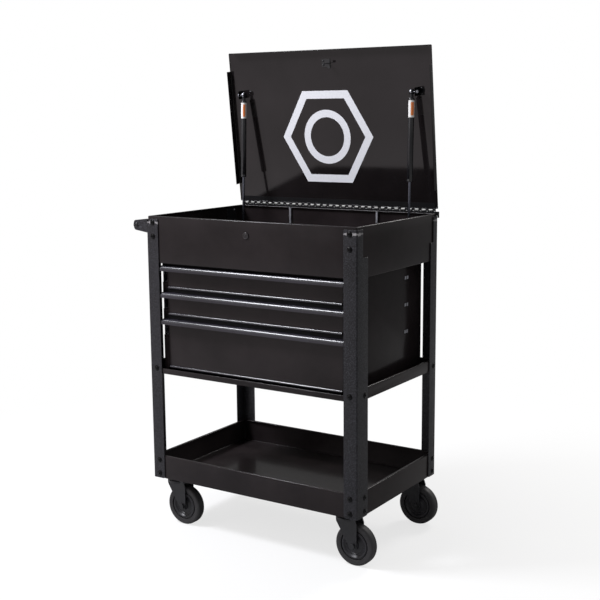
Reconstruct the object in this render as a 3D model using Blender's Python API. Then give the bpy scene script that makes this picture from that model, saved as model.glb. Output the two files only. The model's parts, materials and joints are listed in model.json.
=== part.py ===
"""Open-frame rolling tool cart with a flip-top till, three drawers, two trays and four swivel casters.

Units are metres and +Z is up. The cart stands on the floor, z = 0, with its lid open and its drawers
shut. The drawers face -Y and the push handle is on the -X end.
"""

import math

import bmesh
import bpy
from mathutils import Matrix, Vector

# ---- driving dimensions -------------------------------------------------------------------------
GAP = 0.0003                # between pieces that touch
CART_WIDTH = 0.762          # over the posts, along X
CART_DEPTH = 0.501          # over the posts, along Y
SHEET = 0.0012              # cabinet, drawer and lid sheet
TRAY_SHEET = 0.0015         # tray and till sheet
POST_SHEET = 0.0025

POST_FOOT_Z = 0.156
POST_TOP_Z = 0.996
POST_NECK_Z = 0.9155        # above this the side flange is narrower
FRONT_POST_FACE = 0.045     # flange seen from the front
FRONT_POST_SIDE = 0.062     # flange seen from the end of the cart
FRONT_POST_NECK = 0.0335
REAR_POST_FACE = 0.0475
REAR_POST_SIDE = 0.045
REAR_POST_NECK = 0.028

LOWER_TRAY_Z = (0.1555, 0.2312)
MIDDLE_TRAY_Z = (0.5033, 0.5395)
MIDDLE_FRONT_LIP_Z = 0.520
TILL_Z = (0.8577, 1.0044)
RIM = 0.009                 # inward rim around the trays and the till

CABINET_HALF_X = 0.338
CABINET_FRONT_Y = -0.2285
CABINET_BACK_Y = 0.227

DRAWER_HALF_X = 0.3228
DRAWER_BACK_Y = 0.205
DRAWER_TRAVEL = 0.300
# front's bottom, top of the box sides, top of the front, height of the slides' centre line
DRAWER_LEVELS = {
    "upper": (0.7765, 0.8380, 0.8490, 0.8142),
    "middle": (0.6920, 0.7535, 0.7645, 0.7297),
    "lower": (0.5220, 0.6680, 0.6795, 0.6450),
}
PULL_HALF_X = 0.334
PULL_SHEET = 0.002
PULL_REACH = 0.0205         # forward of the drawer front
PULL_ROUND = 0.0115
PULL_HEIGHT = 0.018
SLIDE_BACK_Y = 0.215
SLIDE_OUTER_HALF_Z = 0.018
SLIDE_INNER_HALF_Z = 0.015

LID_OPEN = math.radians(83.44)
LID_TOP_Z = 1.0175          # lid shut
LID_FLANGE_Z = 0.9955
LID_FRONT_Y = -0.2570
LID_HINGE_SETBACK = 0.0045  # from the pin's axis to the edges of lid and leaves
FLANGE_CLIP = 0.0600        # side flanges stop this far from the lid's ends

PIN_RADIUS = 0.0012
KNUCKLE_INNER = 0.0017
KNUCKLE_OUTER = 0.0029
KNUCKLE_PITCH = 0.0245
KNUCKLE_WIDTH = 0.00485
KNUCKLE_PAIRS = 31
LEAF_HALF_X = 0.3725
LEAF_DEPTH = 0.0225

STRUT_X = 0.317             # both struts' planes
STRUT_ON_LID = (0.370, 0.018)      # along the lid from the pin, and in from the pin's level
STRUT_ON_FRAME = (0.1765, 0.935)   # y and z of the lower pivot
STRUT_TUBE_RADIUS = 0.009
STRUT_BORE_RADIUS = 0.0044
STRUT_ROD_RADIUS = 0.004
STRUT_TUBE_END = 0.274      # from the upper pivot
STRUT_ROD_LENGTH = 0.2208   # from the lower pivot
BALL_RADIUS = 0.005

LOCK_Z = 0.9614
LOCK_BARREL_RADIUS = 0.009
LOCK_PLUG_RADIUS = 0.006
LOCK_BACK_Y = -0.2170

HANDLE_REACH = 0.058        # from the posts to the tip of the brackets
HANDLE_Z = (0.951, 0.995)
HANDLE_BAR_Z = 0.9735
HANDLE_BAR_RADIUS = 0.0115
HANDLE_NOSE_RADIUS = 0.0125
HANDLE_SHEET = 0.003

CASTER_X = 0.320            # swivel axes
CASTER_Y = 0.2005
CASTER_TRAIL = 0.030
CASTER_PLATE = (0.095, 0.067, 0.003)
WHEEL_FLAT_RADIUS = 0.0635  # to the middle of a facet, so that the wheel stands on one
WHEEL_WIDTH = 0.032
WHEEL_FACETS = 24
FORK_SHEET = 0.003
AXLE_RADIUS = 0.0059

BOLT_RADIUS = 0.009
BOLT_HEAD = 0.0035
BOLT_FACE_INSET = 0.0245    # from the post's corner, on its front or rear flange
BOLT_LEVELS = (0.1715, 0.2165, 0.5200, 0.9410, 0.9840)
SIDE_BOLT_LEVELS = (0.1715, 0.2130, 0.5185)
FRONT_SIDE_BOLT_INSET = 0.0448
REAR_SIDE_BOLT_INSET = 0.0165

STIFFENER_X = 0.168
STIFFENER_SIZE = (0.008, 0.006)

# ---- values that follow from them ---------------------------------------------------------------
HALF_X = CART_WIDTH / 2
HALF_Y = CART_DEPTH / 2
TRAY_HALF_X = HALF_X - POST_SHEET - GAP
TRAY_HALF_Y = HALF_Y - POST_SHEET - GAP
LID_INNER_Z = LID_TOP_Z - SHEET
HINGE_Y = TRAY_HALF_Y + GAP + KNUCKLE_OUTER
HINGE_Z = LID_INNER_Z - GAP - KNUCKLE_OUTER
WHEEL_CORNER_RADIUS = WHEEL_FLAT_RADIUS / math.cos(math.pi / WHEEL_FACETS)
# the origin is under the middle of the cart as it stands, lid, handle, wheels and bolt heads included
LEFT_MOST = -HALF_X - HANDLE_REACH
RIGHT_MOST = max(HALF_X + BOLT_HEAD, CASTER_X + CASTER_TRAIL + WHEEL_FLAT_RADIUS)
FRONT_MOST = -HALF_Y - BOLT_HEAD
REAR_MOST = (HINGE_Y - LID_HINGE_SETBACK * math.cos(LID_OPEN)
             + (LID_TOP_Z - HINGE_Z) * math.sin(LID_OPEN))
CENTRE = Vector(((LEFT_MOST + RIGHT_MOST) / 2, (FRONT_MOST + REAR_MOST) / 2, 0))

COLOURS = {
    "hammered_black": ((0.030, 0.030, 0.034), 0.50, 0.3),
    "black_paint": ((0.026, 0.023, 0.023), 0.35, 0.2),
    "gloss_black": ((0.012, 0.011, 0.011), 0.15, 0.1),
    "pull_black": ((0.035, 0.034, 0.040), 0.25, 0.5),
    "zinc": ((0.42, 0.42, 0.45), 0.35, 1.0),
    "strut_black": ((0.012, 0.012, 0.013), 0.30, 0.3),
    "rod_steel": ((0.50, 0.50, 0.54), 0.20, 1.0),
    "caster_black": ((0.016, 0.016, 0.018), 0.45, 0.3),
    "rubber": ((0.020, 0.019, 0.021), 0.70, 0.0),
    "lock_chrome": ((0.30, 0.30, 0.31), 0.22, 1.0),
}


# ---- helpers ------------------------------------------------------------------------------------
def material(name):
    """The finish of that name, made once."""
    if name in bpy.data.materials:
        return bpy.data.materials[name]
    colour, roughness, metallic = COLOURS[name]
    finish = bpy.data.materials.new(name)
    finish.use_nodes = True
    shader = finish.node_tree.nodes["Principled BSDF"]
    shader.inputs["Base Color"].default_value = (*colour, 1)
    shader.inputs["Roughness"].default_value = roughness
    shader.inputs["Metallic"].default_value = metallic
    return finish


def pivot(name, place, parent=None, turn=0.0):
    """An empty on a joint's axis, turned about X."""
    empty = bpy.data.objects.new(name, None)
    bpy.context.scene.collection.objects.link(empty)
    empty.location = place
    empty.rotation_euler = (turn, 0, 0)
    empty.parent = parent
    return empty


def piece(name, mesh, finish, parent, place=(0, 0, 0)):
    """An object for the mesh, placed in its parent's frame."""
    made = bpy.data.objects.new(name, mesh)
    bpy.context.scene.collection.objects.link(made)
    made.location = place
    made.parent = parent
    if not mesh.materials:
        mesh.materials.append(material(finish))
    return made


def finished(bm, name, smooth=False):
    """The mesh of a bmesh, its faces pointing out."""
    bmesh.ops.remove_doubles(bm, verts=bm.verts, dist=1e-6)
    bmesh.ops.recalc_face_normals(bm, faces=bm.faces)
    mesh = bpy.data.meshes.new(name)
    bm.to_mesh(mesh)
    bm.free()
    if smooth:
        mesh.shade_smooth()
        mesh.set_sharp_from_angle(angle=math.radians(35))
    return mesh


def block(name, low, high):
    """A box between two corners."""
    bm = bmesh.new()
    bmesh.ops.create_cube(bm, size=1)
    low, high = Vector(low), Vector(high)
    bmesh.ops.scale(bm, verts=bm.verts, vec=high - low)
    bmesh.ops.translate(bm, verts=bm.verts, vec=(low + high) / 2)
    return finished(bm, name)


def extruded(name, outline, axis, start, end, smooth=False):
    """An outline in the plane across an axis (YZ, XZ or XY) drawn out along it."""
    across = {"X": (1, 2), "Y": (0, 2), "Z": (0, 1)}[axis]
    along = "XYZ".index(axis)
    bm = bmesh.new()
    corners = []
    for point in outline:
        place = [start] * 3
        place[across[0]], place[across[1]] = point
        corners.append(bm.verts.new(place))
    face = grown(bm, bm.faces.new(corners), first=True)
    for vert in face.verts:
        vert.co[along] = end
    return finished(bm, name, smooth)


def arc(centre, radius, start, end, steps):
    """Points on an arc, angles in degrees."""
    turns = [math.radians(start + (end - start) * i / steps) for i in range(steps + 1)]
    return [(centre[0] + radius * math.cos(t), centre[1] + radius * math.sin(t)) for t in turns]


def strip(path, thickness):
    """The outline of a bent sheet: its path, and the path moved by the thickness to its left."""
    points = [Vector(p) for p in path]
    moved = []
    for i, point in enumerate(points):
        before = (point - points[i - 1]).normalized() if i else None
        after = (points[i + 1] - point).normalized() if i < len(points) - 1 else None
        normals = [Vector((-d.y, d.x)) for d in (before, after) if d is not None]
        if len(normals) == 1:
            moved.append(point + normals[0] * thickness)
        else:
            middle = (normals[0] + normals[1]).normalized()
            moved.append(point + middle * thickness / middle.dot(normals[0]))
    return [tuple(p) for p in points + moved[::-1]]


def grown(bm, face, first=False):
    """The new end face of a face drawn out. The face itself stays only as a closed start."""
    if first:
        faces = bmesh.ops.extrude_face_region(bm, geom=[face])["geom"]
    else:
        faces = bmesh.ops.extrude_discrete_faces(bm, faces=[face])["faces"]
    return next(f for f in faces if isinstance(f, bmesh.types.BMFace))


def stepped(name, steps, lift=None):
    """A sheet box drawn in one go. Each step is a rectangle (x low, x high, y low, y high, z), and
    the last is the inside of the floor. lift = (y, z) raises the rim face at y to z."""
    bm = bmesh.new()
    low_x, high_x, low_y, high_y, z = steps[0]
    ring = [bm.verts.new(p) for p in ((low_x, low_y, z), (high_x, low_y, z),
                                      (high_x, high_y, z), (low_x, high_y, z))]
    face = bm.faces.new(ring)
    for i, (low_x, high_x, low_y, high_y, z) in enumerate(steps[1:]):
        middle = face.calc_center_median()
        face = grown(bm, face, first=i == 0)
        for vert in face.verts:
            vert.co = (low_x if vert.co.x < middle.x else high_x,
                       low_y if vert.co.y < middle.y else high_y, z)
    if lift:
        bm.normal_update()
        front = min((f for f in bm.faces if abs(f.normal.z) > 0.9),
                    key=lambda f: abs(f.calc_center_median().y - lift[0]))
        for vert in grown(bm, front).verts:
            vert.co.z = lift[1]
    return finished(bm, name)


def turned(name, profile, facets, axis="Z", centre=(0, 0, 0), half_step=False):
    """A profile of (radius, height) turned about an axis through the centre. A profile that starts
    and ends on the axis is solid, and one that is a closed ring off the axis is a tube."""
    bm = bmesh.new()
    points = [bm.verts.new((r, 0, h)) for r, h in profile]
    pairs = list(zip(points, points[1:]))
    if profile[0][0] > 0 and profile[-1][0] > 0:
        pairs.append((points[-1], points[0]))
    edges = [bm.edges.new(pair) for pair in pairs]
    if half_step:
        bmesh.ops.rotate(bm, verts=bm.verts, cent=(0, 0, 0),
                         matrix=Matrix.Rotation(math.pi / facets, 3, "Z"))
    bmesh.ops.spin(bm, geom=points + edges, cent=(0, 0, 0), axis=(0, 0, 1),
                   angle=2 * math.pi, steps=facets, use_merge=True)
    bmesh.ops.remove_doubles(bm, verts=bm.verts, dist=1e-6)
    turn = {"Z": Matrix.Identity(3), "X": Matrix.Rotation(math.pi / 2, 3, "Y"),
            "Y": Matrix.Rotation(-math.pi / 2, 3, "X")}[axis]
    bmesh.ops.rotate(bm, verts=bm.verts, cent=(0, 0, 0), matrix=turn)
    bmesh.ops.translate(bm, verts=bm.verts, vec=centre)
    return finished(bm, name, smooth=True)


def rod_profile(radius, low, high):
    return [(0, low), (radius, low), (radius, high), (0, high)]


def combined(mesh, others, operation="UNION"):
    """The mesh joined with, or cut by, the others with exact Booleans."""
    stand_in = bpy.data.objects.new(mesh.name, mesh)
    bpy.context.scene.collection.objects.link(stand_in)
    tools = []
    for other in others:
        tool = bpy.data.objects.new(other.name, other)
        bpy.context.scene.collection.objects.link(tool)
        modifier = stand_in.modifiers.new(other.name, "BOOLEAN")
        modifier.operation = operation
        modifier.solver = "EXACT"
        modifier.object = tool
        tools.append(tool)
    graph = bpy.context.evaluated_depsgraph_get()
    result = bpy.data.meshes.new_from_object(stand_in.evaluated_get(graph))
    result.name = mesh.name
    for used in [stand_in] + tools:
        bpy.data.objects.remove(used)
    result.set_sharp_from_angle(angle=math.radians(35))
    return result


def mirrored(points, side):
    """Outline points with their first number turned to the left (-1) or right (1) side."""
    return [(side * a, b) for a, b in points]


# ---- frame --------------------------------------------------------------------------------------
def bolt_head(name, centre, outward):
    """A domed bolt head standing on a flange, sunk a little into it."""
    profile = [(0, -0.0005), (BOLT_RADIUS, -0.0005), (BOLT_RADIUS, 0.0012),
               (BOLT_RADIUS * 0.72, BOLT_HEAD), (0, BOLT_HEAD)]
    head = turned(name, profile, 12)
    turn = Vector((0, 0, 1)).rotation_difference(Vector(outward)).to_matrix().to_4x4()
    head.transform(Matrix.Translation(centre) @ turn)
    return head


def post(name, side, end, face, flank, neck, side_bolt_inset):
    """An angle post. side is -1 left or 1 right, end is -1 front or 1 rear."""
    x, y = side * HALF_X, end * HALF_Y
    outline = [(x, y), (x - side * face, y), (x - side * face, y - end * POST_SHEET),
               (x - side * POST_SHEET, y - end * POST_SHEET), (x - side * POST_SHEET, y - end * flank),
               (x, y - end * flank)]
    angle = extruded(name, outline, "Z", POST_FOOT_Z, POST_TOP_Z)
    outer, inner = y - end * neck, y - end * (flank + 0.01)
    notch = block("notch", (min(x - side * 0.01, x + side * 0.01), min(outer, inner), POST_NECK_Z),
                  (max(x - side * 0.01, x + side * 0.01), max(outer, inner), POST_TOP_Z + 0.01))
    angle = combined(angle, [notch], "DIFFERENCE")
    heads = [bolt_head(f"face_bolt_{i}", (x - side * BOLT_FACE_INSET, y, z), (0, end, 0))
             for i, z in enumerate(BOLT_LEVELS)]
    heads += [bolt_head(f"side_bolt_{i}", (x, y - end * side_bolt_inset, z), (side, 0, 0))
              for i, z in enumerate(SIDE_BOLT_LEVELS)]
    return combined(angle, heads)


def add_posts(cart):
    for side, where in ((-1, "left"), (1, "right")):
        piece(f"post_front_{where}", post(f"post_front_{where}", side, -1, FRONT_POST_FACE,
              FRONT_POST_SIDE, FRONT_POST_NECK, FRONT_SIDE_BOLT_INSET), "hammered_black", cart)
        piece(f"post_rear_{where}", post(f"post_rear_{where}", side, 1, REAR_POST_FACE,
              REAR_POST_SIDE, REAR_POST_NECK, REAR_SIDE_BOLT_INSET), "hammered_black", cart)


def tray_steps(low_z, high_z, sheet):
    """A tray between the posts, with an inward rim."""
    def ring(inset, z):
        return (-TRAY_HALF_X + inset, TRAY_HALF_X - inset, -TRAY_HALF_Y + inset, TRAY_HALF_Y - inset, z)
    return [ring(0, low_z), ring(0, high_z), ring(RIM, high_z), ring(RIM, high_z - sheet),
            ring(sheet, high_z - sheet), ring(sheet, low_z + sheet)]


def add_trays(cart):
    lower = stepped("lower_tray", tray_steps(*LOWER_TRAY_Z, TRAY_SHEET))
    piece("lower_tray", lower, "black_paint", cart)
    middle = stepped("middle_tray", tray_steps(*MIDDLE_TRAY_Z, TRAY_SHEET))
    cutter = block("front_cut", (-HALF_X, -HALF_Y, MIDDLE_FRONT_LIP_Z),
                   (HALF_X, -TRAY_HALF_Y + RIM + 0.0005, MIDDLE_TRAY_Z[1] + 0.01))
    piece("middle_tray", combined(middle, [cutter], "DIFFERENCE"), "black_paint", cart)


def add_till(cart):
    till = stepped("till_box", tray_steps(*TILL_Z, TRAY_SHEET))
    hole = turned("lock_hole", rod_profile(LOCK_BARREL_RADIUS + GAP, -0.01, 0.01), 20, "Y",
                  (0, -TRAY_HALF_Y, LOCK_Z))
    piece("till_box", combined(till, [hole], "DIFFERENCE"), "black_paint", cart)
    width, depth = STIFFENER_SIZE
    wall_y = TRAY_HALF_Y - TRAY_SHEET - GAP
    for side, where in ((-1, "left"), (1, "right")):
        x = side * STIFFENER_X
        path = [(x - width / 2, wall_y), (x - width / 2, wall_y - depth),
                (x + width / 2, wall_y - depth), (x + width / 2, wall_y)]
        low, high = TILL_Z[0] + TRAY_SHEET + GAP, TILL_Z[1] - TRAY_SHEET - GAP
        piece(f"rear_wall_stiffener_{where}",
              extruded(f"rear_wall_stiffener_{where}", strip(path, SHEET), "Z", low, high), "zinc", cart)


def add_cabinet(cart):
    """The drawer cabinet's shell: a box open to the front, drawn lying on its back."""
    low, high = MIDDLE_TRAY_Z[0] + TRAY_SHEET + GAP, TILL_Z[0] - GAP
    steps = []
    for inset, y in ((0, CABINET_BACK_Y), (0, CABINET_FRONT_Y), (SHEET, CABINET_FRONT_Y),
                     (SHEET, CABINET_BACK_Y - SHEET)):
        steps.append((-CABINET_HALF_X + inset, CABINET_HALF_X - inset, low + inset, high - inset, y))
    shell = stepped("cabinet_shell", steps)
    # (x, z, y) as drawn becomes (x, y, z)
    shell.transform(Matrix(((1, 0, 0, 0), (0, 0, 1, 0), (0, 1, 0, 0), (0, 0, 0, 1))))
    shell.flip_normals()
    piece("cabinet_shell", shell, "black_paint", cart)


# ---- drawers ------------------------------------------------------------------------------------
def pull_mesh(name, top):
    """A full-width rolled pull, open below and behind for the fingers, drawn about the slide's origin."""
    back = -GAP
    nose = -PULL_REACH
    path = [(back, top - PULL_HEIGHT + 0.002), (back, top)]
    path += arc((nose + PULL_ROUND, top - PULL_ROUND), PULL_ROUND, 90, 180, 6)
    path += [(nose, top - PULL_HEIGHT)]
    return extruded(name, strip(path, PULL_SHEET), "X", -PULL_HALF_X, PULL_HALF_X, smooth=True)


def channel(outer_x, inner_x, half_z, sheet, side):
    """A slide's section: a web at outer_x with two lips reaching to inner_x."""
    path = [(inner_x, -half_z), (outer_x, -half_z), (outer_x, half_z), (inner_x, half_z)]
    if outer_x < inner_x:
        path = path[::-1]
    return mirrored(strip(path, sheet), side)


def add_drawer(cart, level):
    bottom, side_top, front_top, slide_z = DRAWER_LEVELS[level]
    sliding = pivot(f"drawer_{level}_slide", (0, CABINET_FRONT_Y, slide_z), cart)
    back_y = DRAWER_BACK_Y - CABINET_FRONT_Y

    def ring(inset, z):
        return (-DRAWER_HALF_X + inset, DRAWER_HALF_X - inset, inset, back_y - inset, z - slide_z)
    steps = [ring(0, bottom), ring(0, side_top), ring(SHEET, side_top), ring(SHEET, bottom + SHEET)]
    box = stepped(f"drawer_{level}", steps, lift=(0, front_top - slide_z))
    piece(f"drawer_{level}", box, "black_paint", sliding)
    pull = pull_mesh(f"drawer_{level}_pull", front_top + 0.001 - slide_z)
    piece(f"drawer_{level}_pull", pull, "pull_black", sliding)
    slide_back = SLIDE_BACK_Y - CABINET_FRONT_Y
    for side, where in ((-1, "left"), (1, "right")):
        inner = channel(DRAWER_HALF_X + GAP, DRAWER_HALF_X + 0.0072, SLIDE_INNER_HALF_Z, SHEET, side)
        piece(f"drawer_{level}_slide_{where}",
              extruded(f"drawer_{level}_slide_{where}", inner, "Y", 0.003, slide_back - 0.020),
              "zinc", sliding)
        outer_x = CABINET_HALF_X - SHEET - GAP
        outer = channel(outer_x, outer_x - 0.0075, SLIDE_OUTER_HALF_Z, SHEET, side)
        piece(f"cabinet_rail_{level}_{where}",
              extruded(f"cabinet_rail_{level}_{where}", outer, "Y", CABINET_FRONT_Y + 0.003, SLIDE_BACK_Y),
              "zinc", cart, (0, 0, slide_z))


# ---- lid, hinge and struts ----------------------------------------------------------------------
def leaf_mesh(name, knuckle_start):
    """A hinge leaf lying along -Y above the pin, its tabs curled round the pin at the origin. The
    knuckles start at knuckle_start from the middle of each pair."""
    stations = [-LEAF_HALF_X, LEAF_HALF_X]
    for i in range(KNUCKLE_PAIRS):
        start = (i - (KNUCKLE_PAIRS - 1) / 2) * KNUCKLE_PITCH + knuckle_start
        stations += [start, start + KNUCKLE_WIDTH]
    stations.sort()
    bm = bmesh.new()
    corners = [(-LEAF_DEPTH, KNUCKLE_INNER), (-LEAF_DEPTH, KNUCKLE_OUTER),
               (-LID_HINGE_SETBACK, KNUCKLE_OUTER), (-LID_HINGE_SETBACK, KNUCKLE_INNER)]
    face = bm.faces.new([bm.verts.new((stations[0], y, z)) for y, z in corners])
    for i, station in enumerate(stations[1:]):
        face = grown(bm, face, first=i == 0)
        for vert in face.verts:
            vert.co.x = station
    bm.normal_update()
    edge_faces = sorted((f for f in bm.faces if all(abs(v.co.y + LID_HINGE_SETBACK) < 1e-6
                         for v in f.verts)), key=lambda f: f.calc_center_median().x)
    tabs = edge_faces[1::2]
    for tab in tabs:
        tab = grown(bm, tab)
        bmesh.ops.translate(bm, verts=tab.verts, vec=(0, LID_HINGE_SETBACK, 0))
        for _ in range(6):
            tab = grown(bm, tab)
            bmesh.ops.rotate(bm, verts=tab.verts, cent=(0, 0, 0),
                             matrix=Matrix.Rotation(math.radians(-48), 3, "X"))
    return finished(bm, name)


def add_hinge(cart, lid_pivot):
    lid_leaf = leaf_mesh("hinge_lid_leaf", GAP / 2)
    piece("hinge_lid_leaf", lid_leaf, "hammered_black", lid_pivot)
    # the lower leaf hangs down the back of the till: the same leaf turned a quarter about the pin
    till_leaf = leaf_mesh("hinge_till_leaf", -GAP / 2 - KNUCKLE_WIDTH)
    till_leaf.transform(Matrix.Rotation(math.pi / 2, 4, "X"))
    cutter = block("leaf_trim", (-HALF_X, -0.01, -0.05), (HALF_X, 0.01, POST_TOP_Z + 0.0005 - HINGE_Z))
    till_leaf = combined(till_leaf, [cutter], "DIFFERENCE")
    piece("hinge_till_leaf", till_leaf, "hammered_black", cart, (0, HINGE_Y, HINGE_Z))
    pin = turned("hinge_pin", rod_profile(PIN_RADIUS, -LEAF_HALF_X, LEAF_HALF_X), 10, "X")
    piece("hinge_pin", pin, "rod_steel", cart, (0, HINGE_Y, HINGE_Z))


def add_lid(lid_pivot):
    """The lid as it is shut, about the hinge pin."""
    front, rear = LID_FRONT_Y - HINGE_Y, -LID_HINGE_SETBACK
    top, inner, lip = LID_TOP_Z - HINGE_Z, LID_INNER_Z - HINGE_Z, LID_FLANGE_Z - HINGE_Z
    steps = [(-HALF_X, HALF_X, front, rear, top), (-HALF_X, HALF_X, front, rear, lip),
             (-HALF_X + SHEET, HALF_X - SHEET, front + SHEET, rear - SHEET, lip),
             (-HALF_X + SHEET, HALF_X - SHEET, front + SHEET, rear - SHEET, inner)]
    lid = stepped("lid", steps)
    reach = HALF_X + 0.01
    cuts = [block("rear_cut", (-reach, rear - FLANGE_CLIP, lip - 0.01), (reach, rear + 0.01, inner - 0.0001))]
    for side in (-1, 1):
        ends = sorted((side * (HALF_X - 0.021), side * reach))
        cuts.append(block(f"corner_cut_{side}", (ends[0], front - 0.01, lip - 0.01),
                          (ends[1], front + FLANGE_CLIP, inner - 0.0001)))
    piece("lid", combined(lid, cuts, "DIFFERENCE"), "gloss_black", lid_pivot)


def add_strike(lid_pivot):
    """The catch that the lock's cam hooks over: a foot on the lid, a hanging leg and a lip forward."""
    leg_y = LOCK_BACK_Y + 0.0045 - HINGE_Y
    foot_z = LID_INNER_Z - GAP - HINGE_Z
    lip_z = LOCK_Z + 0.0201 - HINGE_Z
    path = [(leg_y - 0.007, lip_z), (leg_y, lip_z), (leg_y, foot_z - TRAY_SHEET), (leg_y + 0.016, foot_z - TRAY_SHEET)]
    outline = strip(path, TRAY_SHEET)
    piece("lock_strike", extruded("lock_strike", outline, "X", 0.008, 0.018), "zinc", lid_pivot)


def strut_points():
    """The struts' upper pivot with the lid open and with it shut, and the lower pivot, as (y, z)."""
    along, inward = STRUT_ON_LID
    opened = Vector((HINGE_Y - along * math.cos(LID_OPEN) - inward * math.sin(LID_OPEN),
                     HINGE_Z + along * math.sin(LID_OPEN) - inward * math.cos(LID_OPEN)))
    shut = Vector((HINGE_Y - along, HINGE_Z - inward))
    return opened, shut, Vector(STRUT_ON_FRAME)


def strut_tube(name, side):
    """Drawn hanging down from the upper pivot."""
    bore_top = -0.030
    tube = turned(name, [(0, -0.006), (0.006, -0.006), (0.006, -0.016), (STRUT_TUBE_RADIUS, -0.018),
                         (STRUT_TUBE_RADIUS, -STRUT_TUBE_END), (STRUT_BORE_RADIUS, -STRUT_TUBE_END),
                         (STRUT_BORE_RADIUS, bore_top), (0, bore_top)], 16)
    half = 0.0055
    socket = turned("socket", rod_profile(STRUT_TUBE_RADIUS, -half, half), 16, "X")
    # open towards the bracket's ball stud only
    bore_ends = sorted((side * (half + 0.001), -side * (half - 0.0015)))
    bore = turned("bore", rod_profile(BALL_RADIUS + GAP, *bore_ends), 16, "X")
    return combined(combined(tube, [socket]), [bore], "DIFFERENCE")


def strut_rod(name):
    """Drawn standing up from the lower pivot."""
    rod = turned(name, rod_profile(STRUT_ROD_RADIUS, 0.004, STRUT_ROD_LENGTH), 12)
    neck = turned("neck", rod_profile(0.0065, 0.005, 0.019), 12)
    eye = turned("eye", rod_profile(0.008, -0.005, 0.005), 16, "X")
    return combined(rod, [neck, eye])


def add_strut(cart, lid_pivot, side, where):
    opened, _, frame = strut_points()
    slope = opened - frame
    lean = math.atan2(-slope.x, slope.y)
    along, inward = STRUT_ON_LID
    x = side * STRUT_X
    # upper bracket, in the lid's shut frame: a foot, a leg hanging from it and a ball stud
    inner = LID_INNER_Z - GAP - HINGE_Z
    leg_x = STRUT_X + 0.014
    path = [(leg_x + 0.018, inner), (leg_x, inner), (leg_x, -inward - 0.010)]
    leg = extruded("leg", mirrored(strip(path, TRAY_SHEET), side), "Y", -along - 0.016, -along + 0.016)
    stud = turned("stud", [(0, side * leg_x + side * 0.0005), (0.003, side * leg_x + side * 0.0005),
                           (0.003, x + side * 0.004), (BALL_RADIUS, x + side * 0.003),
                           (BALL_RADIUS, x - side * 0.003), (0, x - side * 0.003)],
                  12, "X", (0, -along, -inward))
    piece(f"strut_bracket_upper_{where}", combined(leg, [stud]), "zinc", lid_pivot)
    # lower bracket, on the till's end wall: a wall plate, a shelf and an upturned leg with its stud
    wall_x = TRAY_HALF_X - TRAY_SHEET - GAP
    shelf_z, leg_top = frame.y - 0.015, frame.y + 0.012
    path = [(wall_x, TILL_Z[1] - 0.007), (wall_x, shelf_z), (leg_x, shelf_z), (leg_x, leg_top)]
    outline = strip(path[::-1], TRAY_SHEET)
    bracket = extruded("bracket", mirrored(outline, side), "Y", frame.x - 0.013, frame.x + 0.038)
    stud = turned("stud", rod_profile(0.004, *sorted((side * (leg_x + 0.0005), side * (STRUT_X + 0.0058)))),
                  12, "X", (0, frame.x, frame.y))
    piece(f"strut_bracket_lower_{where}", combined(bracket, [stud]), "zinc", cart)
    # tube on the lid's pivot and rod inside it, both along the strut's own line
    swing = pivot(f"strut_{where}_swing", (x, -along, -inward), lid_pivot, lean + LID_OPEN)
    piece(f"strut_tube_{where}", strut_tube(f"strut_tube_{where}", side), "strut_black", swing)
    piece(f"strut_rod_{where}", strut_rod(f"strut_rod_{where}"), "rod_steel", swing, (0, 0, -slope.length))


# ---- lock ---------------------------------------------------------------------------------------
def add_lock(cart):
    front = -TRAY_HALF_Y - GAP
    barrel = turned("lock_barrel", [(LOCK_PLUG_RADIUS + GAP, front - 0.0027), (0.0115, front - 0.0027),
                                    (0.0125, front - 0.0017), (0.0125, front), (LOCK_BARREL_RADIUS, front),
                                    (LOCK_BARREL_RADIUS, LOCK_BACK_Y - 0.001),
                                    (LOCK_PLUG_RADIUS + GAP, LOCK_BACK_Y - 0.001)], 20, "Y", (0, 0, LOCK_Z))
    piece("lock_barrel", barrel, "lock_chrome", cart)
    turning = pivot("lock_turn", (0, front, LOCK_Z), cart)
    depth = LOCK_BACK_Y - front
    plug = turned("lock_plug", rod_profile(LOCK_PLUG_RADIUS, -0.0024, depth), 16, "Y")
    keyway = block("keyway", (-0.0008, -0.01, -0.004), (0.0008, 0.003, 0.004))
    piece("lock_plug", combined(plug, [keyway], "DIFFERENCE"), "lock_chrome", turning)
    hook = [(0.007, -0.005), (0.007, 0.005), (-0.0225, 0.005), (-0.0225, 0.016), (-0.028, 0.016), (-0.028, -0.005)]
    cam = extruded("lock_cam", hook, "Y", depth + GAP, depth + GAP + 0.002)
    piece("lock_cam", cam, "zinc", turning)


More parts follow.
